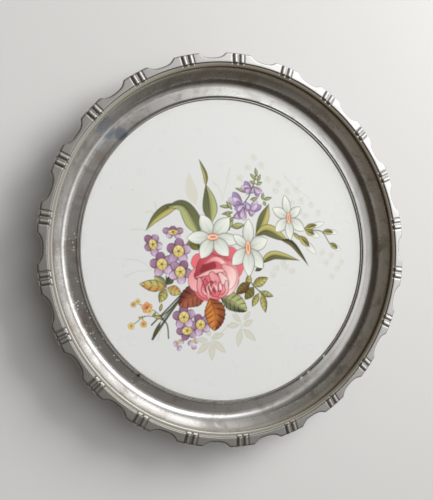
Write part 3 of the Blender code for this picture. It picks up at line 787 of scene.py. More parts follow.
def bell(p, base, tip, half, dark=False):
    """A small hanging lilac bell with a split mouth."""
    base, tip = np.asarray(base, float), np.asarray(tip, float)
    d = tip - base
    n = np.array([-d[1], d[0]])
    tone = INK["violet"] if dark else INK["lilac"]
    p.ribbon([base, tip + n * 0.25], petal_width(half * 0.8, 0.6, 0.35), petal_ink(tone * 0.8, INK["violet_light"] * 0.9, INK["violet_deep"], INK["violet_deep"], 0.6, 0.85, 0.6))
    p.ribbon([base, tip - n * 0.28], petal_width(half * 0.8, 0.6, 0.35), petal_ink(tone * 0.72, INK["lilac"], INK["violet_deep"], INK["violet_deep"], 0.6, 0.85, -0.7))
    p.ribbon([base - d * 0.1, base + d * 0.8], petal_width(half * 0.62, 0.6, 0.4), petal_ink(tone * 0.9, INK["violet_light"], INK["violet_deep"], INK["violet_deep"], 0.55, 0.75, 0.3))


def bud(p, base, tip, half, split=0.62):
    """A bud whose green cup holds a white closed flower."""
    base, tip = np.asarray(base, float), np.asarray(tip, float)
    d = tip - base
    p.ribbon([base + d * 0.3, tip], petal_width(half * 0.9, 0.45, 0.6, 1.0), petal_ink(INK["white_cool"], INK["white"], INK["outline"] * 1.4, rgb(150, 156, 140), 0.5, 0.75, 0.4))
    p.ribbon([base, base + d * split], leaf_width(half, 0.5, 0.9), leaf_ink(INK["olive_light"], INK["olive"], INK["green_dark"], 0, INK["green_dark"], 0.9, 0.8))
    p.ribbon([base + d * 0.12, base + d * (split + 0.04)], leaf_width(half * 0.32, 0.5), flat_ink(INK["green_dark"]), 0.75)


def ghost_sprig(p, places, length, spread=50.0, tone="ghost", alpha=0.5, heading=90.0):
    """Faint shadow leaves: at each place two small leaves and a tip."""
    for x, y, turned in places:
        a = math.radians(heading + turned)
        along = np.array([math.cos(a), math.sin(a)])
        root = np.array([x, y]) - along * length * 0.5
        p.ribbon([root, (x, y)], even_width(0.35), flat_ink(INK[tone]), alpha)
        for off, share, back in ((-spread, 0.8, 0.45), (spread, 0.85, 0.3), (-spread * 0.8, 0.7, 0.05), (spread * 0.7, 0.7, 0.0), (0.0, 0.75, 0.0)):
            b = math.radians(heading + turned + off)
            start = np.array([x, y]) - along * length * back
            tip = start + np.array([math.cos(b), math.sin(b)]) * length * share
            p.ribbon([start, tip], leaf_width(length * 0.16, 0.5), flat_ink(INK[tone]), alpha)


def rose(p, c, k=1.0):
    """A full rose seen a little from below: loose outer petals, a cupped top petal
    and a tight whorl low in the bloom. c is the bloom's centre, k its scale."""

    def at(x, y):
        return (c[0] + x * k, c[1] + y * k)

    line = INK["rose_line"]
    pink, light, pale, deep = INK["pink"], INK["pink_light"], INK["pink_pale"], INK["pink_deep"]

    def pet(a, m, b, half, base, tip, fat=0.55, side=0.0, base_w=0.3, point=0.45, share=0.55, base_dark=0.2):
        p.ribbon(
            [at(*a), at(*m), at(*b)],
            petal_width(half * k, fat, base_w, point),
            petal_ink(base, tip, line * 0.8, deep, 0.8, min(1.0, share + 0.15), side, base_dark),
            steps=12,
        )

    # back petals, flat pink
    back = pink * 0.98 + 0.02
    pet((-2, 6), (-12, 16), (-24, 20), 9.5, back, back * 1.03, share=0.4)
    pet((0, 6), (2, 20), (4, 34), 13.0, back * 0.97, back, share=0.4)
    pet((4, 8), (18, 22), (26, 30), 10.0, back * 0.9, back, share=0.4)
    pet((6, 2), (24, 8), (32, 4), 12.0, back * 0.95, back * 1.05, share=0.45)
    pet((4, -2), (18, -2), (27, -8), 8.0, back * 0.92, back, share=0.45)
    pet((-2, 0), (-16, 2), (-25, -2), 9.5, back, light, share=0.5)
    # the bloom's body
    pet((4, 14), (-3, -6), (-4, -24), 19.5, pink, pink * 0.97 + 0.03, fat=0.5, base_w=0.7, point=0.5, share=0.45)
    pet((8, 16), (16, 2), (8, -18), 12.5, pink * 0.98, pale, fat=0.45, side=-0.25, base_w=0.6, share=0.55)
    pet((-6, 12), (-20, 0), (-14, -12), 8.5, pink, light, fat=0.5, side=0.5, base_w=0.5)
    # the cupped top petal: a dark inside and a light folded edge
    pet((-17, 4), (-4, 17), (14, 9), 8.8, deep * 0.85, pink, fat=0.42, side=0.3, base_w=0.55, point=0.6, share=0.6)
    pet((-14, 8), (-4, 14), (3, 12), 5.0, deep * 0.55, deep * 0.8, fat=0.5, share=0.2)
    pet((-10, 16), (4, 20), (17, 10), 2.6, pink, pale, fat=0.5, base_w=0.5, share=0.3)
    pet((-19, 2), (-2, 7), (16, 8), 2.6, light, light * 0.98, fat=0.5, base_w=0.4, share=0.65)
    pet((12, 12), (20, 4), (16, -12), 6.2, light, pale, fat=0.5, side=-0.3, base_w=0.5, share=0.6)
    # petals round the whorl
    pet((-16, 0), (-14, -12), (-8, -20), 4.6, light, pink, side=0.6, share=0.8, base_w=0.5)
    pet((-2, 4), (3, -4), (4, -12), 6.0, light, pink, side=0.4, share=0.8, base_w=0.6)
    pet((7, 4), (12, -4), (10, -15), 5.0, pale, light, side=-0.4, share=0.8, base_w=0.5)
    pet((14, -4), (12, -14), (4, -20), 3.6, pale, pink, side=-0.4, share=0.75, base_w=0.5)
    pet((-10, -2), (-8, -8), (-6, -14), 3.8, pink, deep, side=0.6, share=0.85, base_w=0.6)
    pet((-3, -4), (-2, -10), (-1, -17), 3.4, deep, pink, side=-0.6, share=0.85, base_w=0.6)
    pet((-9, -14), (-3, -21), (4, -20), 3.2, light, pink, side=0.4, share=0.8, base_w=0.5)
    pet((-5, -5), (-7, -10), (-4, -15), 2.6, pale, pink, side=0.7, share=0.9, base_w=0.6, base_dark=0.5)
    pet((1, -4), (-1, -9), (1, -14), 2.6, light, pink, side=-0.7, share=0.9, base_w=0.6, base_dark=0.5)
    pet((6, -5), (7, -9), (4, -14), 2.6, pale, pink, side=-0.7, share=0.9, base_w=0.6, base_dark=0.5)
    pet((-12, -6), (-12, -12), (-8, -17), 2.4, pink, light, side=0.7, share=0.9, base_w=0.6, base_dark=0.4)
    pet((10, -8), (10, -13), (6, -17), 2.4, light, pink, side=-0.7, share=0.9, base_w=0.6, base_dark=0.4)
    for a, b, h in (((-7, -6), (-4, -16), 1.2), ((-1, -8), (1, -16), 1.1), ((3, -10), (6, -16), 1.0), ((-10, -9), (-9, -15), 0.9), ((-4, -11), (0, -12), 0.9)):
        p.ribbon([at(*a), at(*b)], leaf_width(h * k, 0.4), flat_ink(deep * 0.55), 0.85)
    for a, b, h in (((-5, -7), (-2.5, -14), 0.9), ((1, -6), (3.5, -14), 1.2), ((6, -6), (8, -13), 1.2), ((-8, -11), (-6, -17), 0.8)):
        p.ribbon([at(*a), at(*b)], leaf_width(h * k, 0.5), flat_ink(pale), 0.75)


def paint():
    p = Print()
    # ---- faint shadow leaves behind the bouquet
    for tips in (
        [(-45, 80), (-44.5, 66), (-39, 45.5)],
    ):
        p.ribbon(tips, leaf_width(6.2, 0.6), flat_ink(rgb(214, 211, 196)), 0.75)
    for line in (
        [(0, 85), (-4.5, 68), (-10, 50.5)],
        [(-19.5, 70), (-13, 64), (-9, 52.5)],
        [(-107.5, 22), (-98.5, 22.5), (-88.5, 20.5)],
        [(-113.5, -6.5), (-100, -9), (-88, -18.5)],
        [(-115.5, -24), (-104, -19.5), (-88, -18.5)],
        [(-92, 39.5), (-85.5, 39.5), (-80, 29.5)],
        [(-82.5, 49.5), (-80.5, 39.5), (-79, 25.5)],
        [(-84.5, -88.5), (-81, -78.5), (-75.5, -69)],
        [(-90.5, -84), (-85, -74.5), (-78.5, -65)],
        [(63.5, 77.5), (77.5, 64.5), (94.5, 52.5)],
        [(9, 74.5), (22.5, 66.5), (36.5, 65.5)],
    ):
        p.ribbon(line, even_width(0.75, 0.5), flat_ink(INK["ghost"]), 0.6)
    ghost_sprig(p, [(28.5, 96.5, 10), (36.5, 88, -25), (21, 85.5, 40), (11.5, 74.5, 35), (44, 73, 0), (56, 68.5, 5), (53, 61, 60), (66.5, 60, 0), (77.5, 62, -20), (83, 50, -30), (72, 48, 50), (95.5, 45.5, 0), (104, 36.5, -40), (88.5, 33.5, 60), (81.5, 38, 0)], 7.0, alpha=0.5)
    ghost_sprig(p, [(107, -7, -120), (118.5, -11.5, -60), (111.5, -18, -150), (125.5, -25.5, -100), (118.5, -34, -160), (131, -19, -60)], 7.0, alpha=0.45)
    ghost_sprig(p, [(49.5, -22, -130), (60.5, -20.5, -170), (68.5, -26, -150), (58, -16, -90), (45.5, -28.5, -180)], 7.5, alpha=0.45)
    for base, tip, half in (
        ((5.5, -83.5), (1.5, -103), 3.6), ((8, -84.5), (22.5, -98.5), 3.4), ((8, -81.5), (20, -76), 3.2), ((4.5, -80), (-11, -80), 3.0),
        ((6, -77), (-4, -68), 2.6), ((9.5, -75.5), (17, -66.5), 2.6), ((-29.5, -95), (-44, -106), 3.4), ((-27.5, -95), (-28, -114.5), 3.6),
        ((-26, -93.5), (-12.5, -108), 3.4), ((-28, -91), (-13.5, -88), 3.2), ((-31.5, -93), (-44.5, -91.5), 2.8), ((-29, -89), (-33.5, -80.5), 2.6),
    ):
        small_leaf(p, base, tip, half, "ghost_beige", "ghost", alpha=0.75, deep="ghost")
    p.ribbon([(-29.5, -95), (-16, -86), (-4, -76.5)], even_width(0.7), flat_ink(INK["ghost"]), 0.7)
    p.ribbon([(7, -85.5), (5, -75), (-1.5, -64)], even_width(0.7), flat_ink(INK["ghost"]), 0.7)

    # ---- long leaves
    long_leaf(p, [(-27.5, 68), (-24.5, 52.5), (-22.5, 26.5)], 8.2, flip=-1.0, fat=0.6, light="green_light", dark="green", deep="green_dark")
    long_leaf(p, [(-34, 94), (-30, 84.5), (-27.5, 76.5), (-27.5, 65)], 2.6, "olive_light", "olive", fat=0.65)
    long_leaf(p, [(-55, 45.5), (-67, 43.5), (-81, 34.5), (-93.5, 20.5)], 5.4, "olive_light", "green", fat=0.38, flip=-1.0)
    long_leaf(p, [(-71, 44.5), (-54, 45.5), (-44, 32), (-36.5, 14.5)], 9.2, "green_light", "green", fat=0.68)
    long_leaf(p, [(26.5, 13), (36, 29), (44, 47.5)], 6.2, "olive_light", "green", fat=0.52)
    long_leaf(p, [(25.5, 13), (39.5, 19), (55.5, 12), (67.5, 4.5)], 6.6, "olive_light", "green", fat=0.42, flip=-1.0)
    long_leaf(p, [(56.5, 8), (68.5, 4.5), (80.5, -9), (90, -22.5)], 3.2, "olive", "green_dark", fat=0.25)
    long_leaf(p, [(30.5, -17), (45, -8.5), (59.5, -10), (79.5, -15.5)], 4.8, "olive_light", "green", fat=0.3, flip=-1.0)
    small_leaf(p, (24.5, -24.5), (35.5, -18.5), 2.8, "green", "green_dark", flip=-1.0)
    small_leaf(p, (-47, 10.5), (-36.5, 0), 5.5, "olive", "green_dark")
    p.ribbon([(-43.5, 12.5), (-49.5, 4.5)], even_width(2.6), flat_ink(INK["olive"] * 0.8), 0.9)

    # ---- lilac bells with small leaves
    p.ribbon([(29.5, 77), (22, 57.5), (13, 46), (0.5, 30.5), (-3.5, 20)], even_width(0.62), flat_ink(INK["green_dark"]), 0.85, steps=24)
    for base, tip in (
        ((29.5, 68.5), (22, 71.5)), ((30.5, 72.5), (23, 79.5)), ((31, 76), (29.5, 86)), ((31, 70.5), (35.5, 79)),
        ((29.5, 67.5), (37, 70.5)), ((21, 59), (5, 64)), ((0, 44), (-13.5, 45)), ((1, 41), (-5.5, 50.5)),
        ((2, 38.5), (-11.5, 36.5)), ((2, 45), (10, 48)), ((-0.5, 33.5), (-7.5, 38)), ((36, 51.5), (38, 59)),
        ((37, 51.5), (48, 54)), ((37.5, 50), (40, 45)), ((-3, 28.5), (2.5, 33.5)), ((22, 51.5), (31.5, 53.5)),
    ):
        small_leaf(p, base, tip, 1.9, "green_light", "olive")
    small_leaf(p, (-1, 23), (14.5, 25), 3.4, "green_light", "olive", flip=-1.0)
    small_leaf(p, (-3.5, 21), (1.5, 31.5), 2.2, "green_light", "olive")
    bell(p, (24, 60), (14, 68.5), 4.6)
    bell(p, (23, 63), (16, 59.5), 3.6, True)
    bell(p, (27, 65), (34.5, 56.5), 3.8, True)
    bell(p, (12.5, 45.5), (-0.5, 56), 5.4)
    bell(p, (12, 45), (5, 48), 3.0, True)
    bell(p, (15.5, 45), (5, 39), 5.2)
    bell(p, (13.5, 42), (11, 30), 4.4, True)
    bell(p, (6.5, 37.5), (5, 31), 3.0, True)
    bell(p, (17.5, 48), (21.5, 39.5), 3.6)
    bell(p, (21.5, 38.5), (32.5, 48.5), 4.4)
    bell(p, (20.5, 40.5), (25.5, 35), 3.0, True)

    # ---- sprig of buds at the right
    p.ribbon([(84.5, 19.5), (95.5, 18), (108, 15.5), (117.5, 2), (122.5, -1.5)], even_width(0.6), flat_ink(INK["outline"]), 0.8, steps=20)
    bud(p, (85.5, 19.5), (111.5, 26), 3.6)
    bud(p, (86.5, 18), (105.5, 10), 3.8)
    bud(p, (108.5, 16), (128.5, 14.5), 3.4, 0.7)
    bud(p, (117, 3), (131.5, -6), 3.2, 0.72)
    small_leaf(p, (71.5, 16), (81, 7), 2.2, "olive_light", "olive")
    bud(p, (78.5, 12.5), (100, -9), 4.2, 0.6)

    # ---- stems, low on the left
    for line, half in (
        ([(-46.5, -33.5), (-68.5, -53.5), (-90.5, -73)], 0.75), ([(-49, -36.5), (-68.5, -56.5), (-81.5, -66.5)], 0.6), ([(-57.5, -46), (-73, -65), (-90, -87)], 1.15),
        ([(-53.5, -42.5), (-71, -59.5), (-79.5, -69)], 0.55), ([(-79.5, -67), (-74.5, -74), (-73.5, -87.5)], 0.65), ([(-74, -36), (-73.5, -25)], 0.6),
    ):
        p.ribbon(line, even_width(half * 1.08), flat_ink(INK["green_dark"]), 0.9)
        p.ribbon(line, even_width(half * 0.4), flat_ink(INK["green"]), 0.6)
    small_leaf(p, (-90.5, -87), (-80.5, -69.5), 1.7, "green", "green_dark")

    # ---- little yellow and coral flowers
    for line in (
        [(-78.5, -67), (-86.5, -59.5), (-93.5, -56)], [(-93.5, -56), (-100.5, -52.5), (-105.5, -50)], [(-78.5, -69), (-91.5, -64), (-103, -65)],
        [(-97, -63.5), (-104, -68), (-111, -72.5)], [(-100, -63.5), (-99, -67.5), (-98.5, -71.5)],
    ):
        p.ribbon(line, even_width(0.42), flat_ink(INK["green_dark"]), 0.75)
    small_leaf(p, (-81.5, -60.5), (-79, -52), 1.7, "olive_light", "olive")
    small_leaf(p, (-78.5, -67), (-89.5, -64), 2.0, "olive_light", "olive", flip=-1.0)
    small_leaf(p, (-85.5, -60.5), (-89.5, -65), 1.4, "olive_light", "green")
    for centre, radius, base, tip in (
        ((-94.5, -55.5), 6.0, rgb(206, 122, 88), rgb(232, 184, 130)), ((-92, -59), 3.4, rgb(226, 196, 110), rgb(240, 222, 160)),
        ((-108, -51.5), 3.4, rgb(196, 160, 110), rgb(232, 210, 160)), ((-103.5, -49), 3.3, rgb(206, 190, 110), rgb(236, 226, 170)),
        ((-111, -72.5), 3.8, rgb(214, 186, 110), rgb(236, 218, 150)), ((-98.5, -71.5), 3.8, rgb(206, 160, 96), rgb(232, 200, 130)),
        ((-102, -65), 2.0, rgb(206, 190, 120), rgb(230, 220, 160)),
    ):
        for k in range(5):
            tip_at = turn((radius, 0.0), centre, 20 + 72 * k)
            p.ribbon([centre, tip_at], petal_width(radius * 0.42, 0.6, 0.4), petal_ink(base, tip, rgb(140, 100, 66), None, 0.5, 0.7))
        p.ribbon([turn((-0.5, 0), centre, 0), turn((0.5, 0), centre, 0)], round_width(0.8), flat_ink(rgb(120, 84, 50)), 0.85)

    # ---- yellow-brown leaves on the left
    small_leaf(p, (-74, -35), (-86, -24), 4.4, "green_light", "green", flip=-1.0)
    small_leaf(p, (-73, -34), (-66, -24.5), 4.0, "green", "green_dark")
    small_leaf(p, (-74, -36.5), (-101.5, -31.5), 6.0, "olive_light", "amber", 4)
    small_leaf(p, (-74, -37.5), (-81.5, -51.5), 4.8, "olive_light", "olive", 4, flip=-1.0)
    small_leaf(p, (-73, -37), (-58, -43.5), 5.2, "olive_light", "amber", 4)

    # ---- primulas, upper group
    primula(p, (-64.5, 19), 12.0, 90, 0.55, 88.0, 90.0, 5)
    primula(p, (-86, 7), 12.5, 62, 0.78, 20.0, 150.0)
    primula(p, (-77.5, -13), 13.2, 100, 1.0, 0.0, 120.0)
    primula(p, (-59.5, -0.5), 13.8, 84, 1.0, 0.0, 130.0)
    primula(p, (-58.5, -21.5), 13.2, 60, 1.0, 0.0, 60.0)
    # ---- primulas, lower group
    primula(p, (-53.5, -81.5), 12.2, 250, 0.85, 90.0, 220.0)
    for centre, angle in (((-63, -94.5), 200.0), ((-47.5, -95), 320.0)):
        for k, (dx, dy) in enumerate(((-3.4, 0.8), (2.8, 2.4), (0.4, -3.8))):
            place = (centre[0] + dx, centre[1] + dy)
            p.ribbon([turn((-2.6, 0), place, angle + 60 * k), turn((2.6, 0), place, angle + 60 * k)], round_width(2.9), petal_ink(INK["violet"], INK["violet_light"], INK["violet_deep"], None, 0.6, 0.8))
        p.ribbon([turn((-1.6, 0), (centre[0], centre[1] + 2.5), 20), turn((1.6, 0), (centre[0], centre[1] + 2.5), 20)], round_width(2.0), flat_ink(INK["olive_light"]), 0.9)
    primula(p, (-39, -76.5), 12.0, 110, 1.0, 0.0, 110.0)
    primula(p, (-56.5, -67.5), 12.8, 92, 1.0, 0.0, 120.0)

    # ---- rose leaves
    rose_leaf(p, (-16.5, -49.5), (13, -66), 9.6, INK["green_light"], INK["green_dark"] * 1.2, INK["green_dark"] * 0.8, flip=-1.0, bend=0.06)
    # ---- sprig of olive leaves at the right
    p.ribbon([(17, -33.5), (25, -42.5), (36, -51.5)], even_width(0.6), flat_ink(INK["green_dark"]), 0.85)
    small_leaf(p, (15.5, -40), (18, -26.5), 3.6, "olive_light", "olive", 4)
    small_leaf(p, (20.5, -40), (39.5, -32), 5.2, "olive_light", "olive", 5)
    small_leaf(p, (28, -46.5), (45, -52.5), 3.4, "green_light", "olive", 4, flip=-1.0)
    small_leaf(p, (31.5, -48), (35, -69.5), 4.0, "olive_light", "olive", 5)
    small_leaf(p, (28, -48), (19.5, -62), 3.8, "olive_light", "olive", 5, flip=-1.0)
    small_leaf(p, (22.5, -41), (11.5, -54), 5.4, "olive", "olive", 4)
    rose_leaf(p, (18, -36.5), (2, -47), 5.4, INK["olive"], INK["brown"] * 0.9, INK["brown_dark"], veins=5.0)

    # ---- the rose and its brown leaves
    rose_leaf(p, (-28.5, -44.5), (-61.5, -56), 11.6, rgb(176, 108, 82), rgb(104, 50, 44), INK["brown_dark"], flip=-1.0, bend=-0.10, veins=6.0)
    rose(p, (-22.5, -30), 1.0)
    rose_leaf(p, (-28, -49.5), (-24, -84), 11.6, INK["amber"] * 1.05, INK["brown"], INK["brown_dark"], INK["amber"] * 1.2, flip=1.0, bend=0.10, veins=6.0)

    # ---- narcissi in front
    narcissus(p, (-22, 13), [((-34.5, 36.5), 7.2), ((-2.5, 32.5), 8.0), ((9, 7.5), 6.4), ((-50.5, 12.5), 6.8), ((-5, -7.5), 7.6), ((-36, -9), 7.2)], 6.4, 3.3, 0.0)
    narcissus(p, (17.5, 0.5), [((19, 31.5), 6.4), ((1, 15), 5.0), ((40.5, 9), 7.6), ((34, -22), 7.2), ((-1.5, -17), 7.2), ((17.5, -30), 6.8)], 7.6, 2.9, 90.0)
    narcissus(p, (67, 31.5), [((63, 57), 5.0), ((82, 43.5), 5.2), ((48, 42.5), 5.6), ((86, 17.5), 6.2), ((50.5, 17), 6.0), ((68, 7), 5.2)], 6.2, 2.2, 92.0)
    # printing inks darken the paper under them
    p.ink = np.array(PAPER) * (np.clip(p.ink, 0.0, None) / np.array(PAPER)) ** 1.18
    return p


# ---------------------------------------------------------------- plate
def build_plate(print_):
    """The laminated plate: a fine grid of points carries the print's colours."""
    radius = plate_high.x - 1.3  # it ends under the rim's bead
    spacing = 0.62
    half = int(radius / spacing) + 1
    # a square grid bent into a disc, so the points stay even and the edge is round
    a = np.linspace(-1.0, 1.0, 2 * half + 1)
    u, v = np.meshgrid(a, a, indexing="ij")
    reach = np.maximum(np.abs(u), np.abs(v))
    length = np.hypot(u, v)
    blend = smoothstep(0.55, 1.0, reach)
    scale = np.where(length > 0, reach / np.maximum(length, 1e-9), 1.0)
    factor = (1 - blend) * 0.93 + blend * scale
    x, y = u * factor * radius, v * factor * radius
    n = len(a)
    verts = [np.stack([x, y, np.full_like(x, PLATE_TOP)], axis=-1).reshape(-1, 3)]
    index = np.arange(n * n).reshape(n, n)
    faces = [
        np.stack([index[:-1, :-1], index[1:, :-1], index[1:, 1:], index[:-1, 1:]], axis=-1).reshape(-1, 4)
    ]
    # the edge, walked anticlockwise, drops to the underside
    walk = np.concatenate([index[:-1, 0], index[-1, :-1], index[1:, -1][::-1], index[0, 1:][::-1]])
    edge = verts[0][walk]
    low = edge.copy()
    low[:, 2] = plate_low.z
    verts.append(low)
    verts.append(np.array([[0.0, 0.0, plate_low.z]]))
    start = n * n
    m = len(walk)
    here, there = np.arange(m), (np.arange(m) + 1) % m
    quads = np.stack([walk[here], start + here, start + there, walk[there]], axis=-1)
    faces.append(quads)
    fan = [(int(start + m), int(start + q), int(start + p)) for p, q in zip(here, there)]
    verts = np.concatenate(verts)
    faces = [tuple(map(int, f)) for f in np.concatenate(faces)] + fan
    plate = mesh_object("printed_plate", verts, faces, "tray")
    mesh = plate.data
    ink = print_.at(verts[:, 0], verts[:, 1])
    inside = (
        (np.abs(verts[:, 0] - (PRINT_X[0] + PRINT_X[1]) / 2) < (PRINT_X[1] - PRINT_X[0]) / 2)
        & (np.abs(verts[:, 1] - (PRINT_Y[0] + PRINT_Y[1]) / 2) < (PRINT_Y[1] - PRINT_Y[0]) / 2)
        & (verts[:, 2] > PLATE_TOP - 0.01)
    )
    ink = np.where(inside[:, None], ink, np.array(PAPER))
    attribute = mesh.color_attributes.new("ink", "FLOAT_COLOR", "POINT")
    attribute.data.foreach_set("color", np.concatenate([ink, np.ones((len(ink), 1))], axis=1).astype(np.float32).ravel())
    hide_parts("inlay_plate")
    return plate


def laminate():
    n = Nodes("laminate")
    ink = n.add("ShaderNodeAttribute", attribute_type="GEOMETRY", attribute_name="ink").outputs["Color"]
    # age: a faint uneven yellowing, a darker ragged ring towards the edge, small spots and fine bumps in the varnish
    cloud = n.noise(9.0, 3.0, 0.6)
    colour = n.mix(n.ramp(cloud, 0.35, 0.7, 0.0, 0.3), ink, n.mix(1.0, ink, (0.975, 0.97, 0.945), "MULTIPLY"))
    flat = n.vector("MULTIPLY", n.coords, (1.0, 1.0, 0.0))
    radius = n.length(flat)
    edge = n.math("MULTIPLY", n.ramp(radius, 0.1495, 0.1572), n.ramp(n.noise(60.0, 3.0, 0.6), 0.35, 0.65))
    colour = n.mix(n.math("MULTIPLY", edge, 0.22), colour, (0.52, 0.50, 0.45))
    fleck = n.cells(55.0)
    chance = n.noise(26.0, 1.0)
    speck = n.math("MULTIPLY", n.ramp(fleck, 0.06, 0.025), n.ramp(chance, 0.56, 0.60))
    colour = n.mix(n.math("MULTIPLY", speck, 0.5), colour, (0.36, 0.31, 0.24))
    rough = n.ramp(n.noise(35.0, 4.0, 0.6), 0.3, 0.7, 0.26, 0.36)
    return n.set(colour=colour, specular=0.3, roughness=rough, normal=n.bump(n.noise(160.0, 2.0), 0.00004, 0.25))


plate = build_plate(paint())
dress(plate, laminate())


# ---------------------------------------------------------------- turned and swept pieces
def fillet(profile, radius=0.35, closed=True):
    """Rounds the corners of a turned section, leaving points on the axis sharp."""
    p = [np.array(q, float) for q in profile]
    out = []
    count = len(p)
    for i, here in enumerate(p):
        if not closed and i in (0, count - 1):
            out.append(here)
            continue
        before, after = p[i - 1], p[(i + 1) % count]
        a, b = before - here, after - here
        la, lb = np.hypot(*a), np.hypot(*b)
        r = min(radius, la * 0.4, lb * 0.4)
        if here[0] < 1e-6:
            out.append(here)
            continue
        start, end = here + a / la * r, here + b / lb * r
        for t in (0.0, 0.33, 0.67, 1.0):
            out.append(start * (1 - t) ** 2 + here * 2 * t * (1 - t) + end * t**2)
    return out


def turned_arrays(profile, steps=48, closed=True):
    """Points and faces of a solid of revolution about Z. A closed section is a ring;
    an open one starts and ends on the axis. Sections run so that faces point out."""
    profile = np.asarray(profile, float)
    angles = np.linspace(0, 2 * math.pi, steps, endpoint=False)
    ring = profile if closed else profile[1:-1]
    r, z = ring[:, 0], ring[:, 1]
    verts = np.stack(
        [np.outer(np.cos(angles), r), np.outer(np.sin(angles), r), np.tile(z, (steps, 1))], axis=-1
    ).reshape(-1, 3)
    faces = [tuple(map(int, f)) for f in grid_faces(steps, len(ring), True, closed)]
    if not closed:
        first, last = len(verts), len(verts) + 1
        verts = np.concatenate([verts, [[0, 0, profile[0, 1]], [0, 0, profile[-1, 1]]]])
        n = len(ring)
        for i in range(steps):
            j = (i + 1) % steps
            faces.append((first, i * n, j * n))
            faces.append((last, j * n + n - 1, i * n + n - 1))
    # signed volume says which way the faces point
    volume = 0.0
    for f in faces:
        a = verts[f[0]]
        for k in range(1, len(f) - 1):
            volume += float(np.dot(a, np.cross(verts[f[k]], verts[f[k + 1]])))
    if volume < 0:
        faces = [f[::-1] for f in faces]
    return verts, faces


def turned_piece(name, profile, place, body, node, finish, steps=48, closed=True, along_y=False):
    verts, faces = turned_arrays(profile, steps, closed)
    if along_y:
        verts = np.stack([verts[:, 0], -verts[:, 2], verts[:, 1]], axis=-1)
    verts = verts + np.array(place, float)
    piece = mesh_object(name, verts, faces, body, 32)
    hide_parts(node)
    dress(piece, finish)
    return piece


def swept_arrays(path, half_side, half_high, square, steps=28):
    """A bar along a level path; its section goes from round to flattened."""
    path = np.asarray(path, float)
    along = np.gradient(path, axis=0)
    along /= np.linalg.norm(along, axis=1)[:, None]
    side = np.stack([-along[:, 1], along[:, 0]], axis=-1)
    phi = np.linspace(0, 2 * math.pi, steps, endpoint=False)
    c, s = np.cos(phi), np.sin(phi)
    verts = []
    for p, n, hs, hh, k in zip(path, side, half_side, half_high, square):
        u = np.sign(c) * np.abs(c) ** (2 / k) * hs
        w = np.sign(s) * np.abs(s) ** (2 / k) * hh
        verts.append(np.stack([p[0] + n[0] * u, p[1] + n[1] * u, w], axis=-1))
    verts = np.concatenate(verts)
    count = len(path)
    faces = [tuple(map(int, f)) for f in grid_faces(count, steps, False, True)]
    faces.append(tuple(range(steps)))
    faces.append(tuple(range((count - 1) * steps, count * steps))[::-1])
    volume = 0.0
    for f in faces:
        a = verts[f[0]]
        for k in range(1, len(f) - 1):
            volume += float(np.dot(a, np.cross(verts[f[k]], verts[f[k + 1]])))
    if volume < 0:
        faces = [f[::-1] for f in faces]
    return verts, faces


def plain_object(name, verts, faces):
    mesh = bpy.data.meshes.new(name)
    mesh.from_pydata([tuple(map(float, v)) for v in verts], [], faces)
    mesh.update()
    obj = bpy.data.objects.new(name, mesh)
    scene.collection.objects.link(obj)
    return obj


def combine(base, other, operation):
    """Joins or cuts base, both in millimetres, and returns its new points and faces."""
    first, second = plain_object("base", *base), plain_object("other", *other)
    step = first.modifiers.new("step", "BOOLEAN")
    step.operation = operation
    step.solver = "EXACT"
    step.object = second
    bpy.context.view_layer.update()
    graph = bpy.context.evaluated_depsgraph_get()
    mesh = bpy.data.meshes.new_from_object(first.evaluated_get(graph))
    verts = np.array([v.co[:] for v in mesh.vertices])
    faces = [tuple(f.vertices) for f in mesh.polygons]
    for obj in (first, second):
        bpy.data.objects.remove(obj, do_unlink=True)
    bpy.data.meshes.remove(mesh)
    return verts, faces


def rod_y(radius, low, high, at, steps=40):
    verts, faces = turned_arrays([(0, low), (radius, low), (radius, high), (0, high)], steps, False)
    verts = np.stack([verts[:, 0], -verts[:, 2], verts[:, 1]], axis=-1)
    verts[:, 1] *= 1.0
    return verts + np.array([at[0], at[1], at[2]], float), faces


# ---------------------------------------------------------------- finishes underneath
def plated_steel(name, tone, rough, spangle=0.0):
    n = Nodes(name)
    cloud = n.noise(60.0, 4.0, 0.6)
    fine = n.noise(700.0, 2.0, 0.6)
    dark, light = [tuple(v * k for v in tone) for k in (0.72, 1.05)]
    colour = n.mix(n.ramp(cloud, 0.3, 0.7), dark, light)
    if spangle:
        crystal = n.cells(260.0, out="Color")
        colour = n.mix(spangle, colour, n.mix(crystal, dark, light))
    rust = n.math("MULTIPLY", n.ramp(n.noise(150.0, 4.0, 0.7), 0.62, 0.72), 0.55)
    colour = n.mix(rust, colour, (0.19, 0.11, 0.06))
    roughness = n.math("ADD", n.ramp(cloud, 0.3, 0.7, rough, rough + 0.12), n.math("MULTIPLY", rust, 0.35))
    normal = n.bump(fine, 0.00003, 0.3)
    return n.set(colour=colour, metallic=1.0, roughness=roughness, normal=normal)


def rubber():
    n = Nodes("rubber")
    bloom = n.ramp(n.noise(120.0, 4.0, 0.6), 0.45, 0.75)
    colour = n.mix(bloom, (0.018, 0.018, 0.019), (0.05, 0.049, 0.047))
    return n.set(colour=colour, roughness=n.ramp(bloom, 0.0, 1.0, 0.55, 0.75), normal=n.bump(n.noise(900.0), 0.00004, 0.4))


def hardboard():
    n = Nodes("hardboard")
    fibres = n.noise(300.0, 4.0, 0.7, n.scaled((1.0, 0.25, 1.0)), 0.4)
    cloud = n.noise(18.0, 3.0, 0.6)
    colour = n.mix(n.ramp(fibres, 0.3, 0.7), (0.125, 0.072, 0.038), (0.235, 0.145, 0.082))
    colour = n.mix(n.math("MULTIPLY", n.ramp(cloud, 0.4, 0.7), 0.35), colour, (0.10, 0.055, 0.03))
    return n.set(colour=colour, roughness=0.62, normal=n.bump(fibres, 0.00006, 0.5))


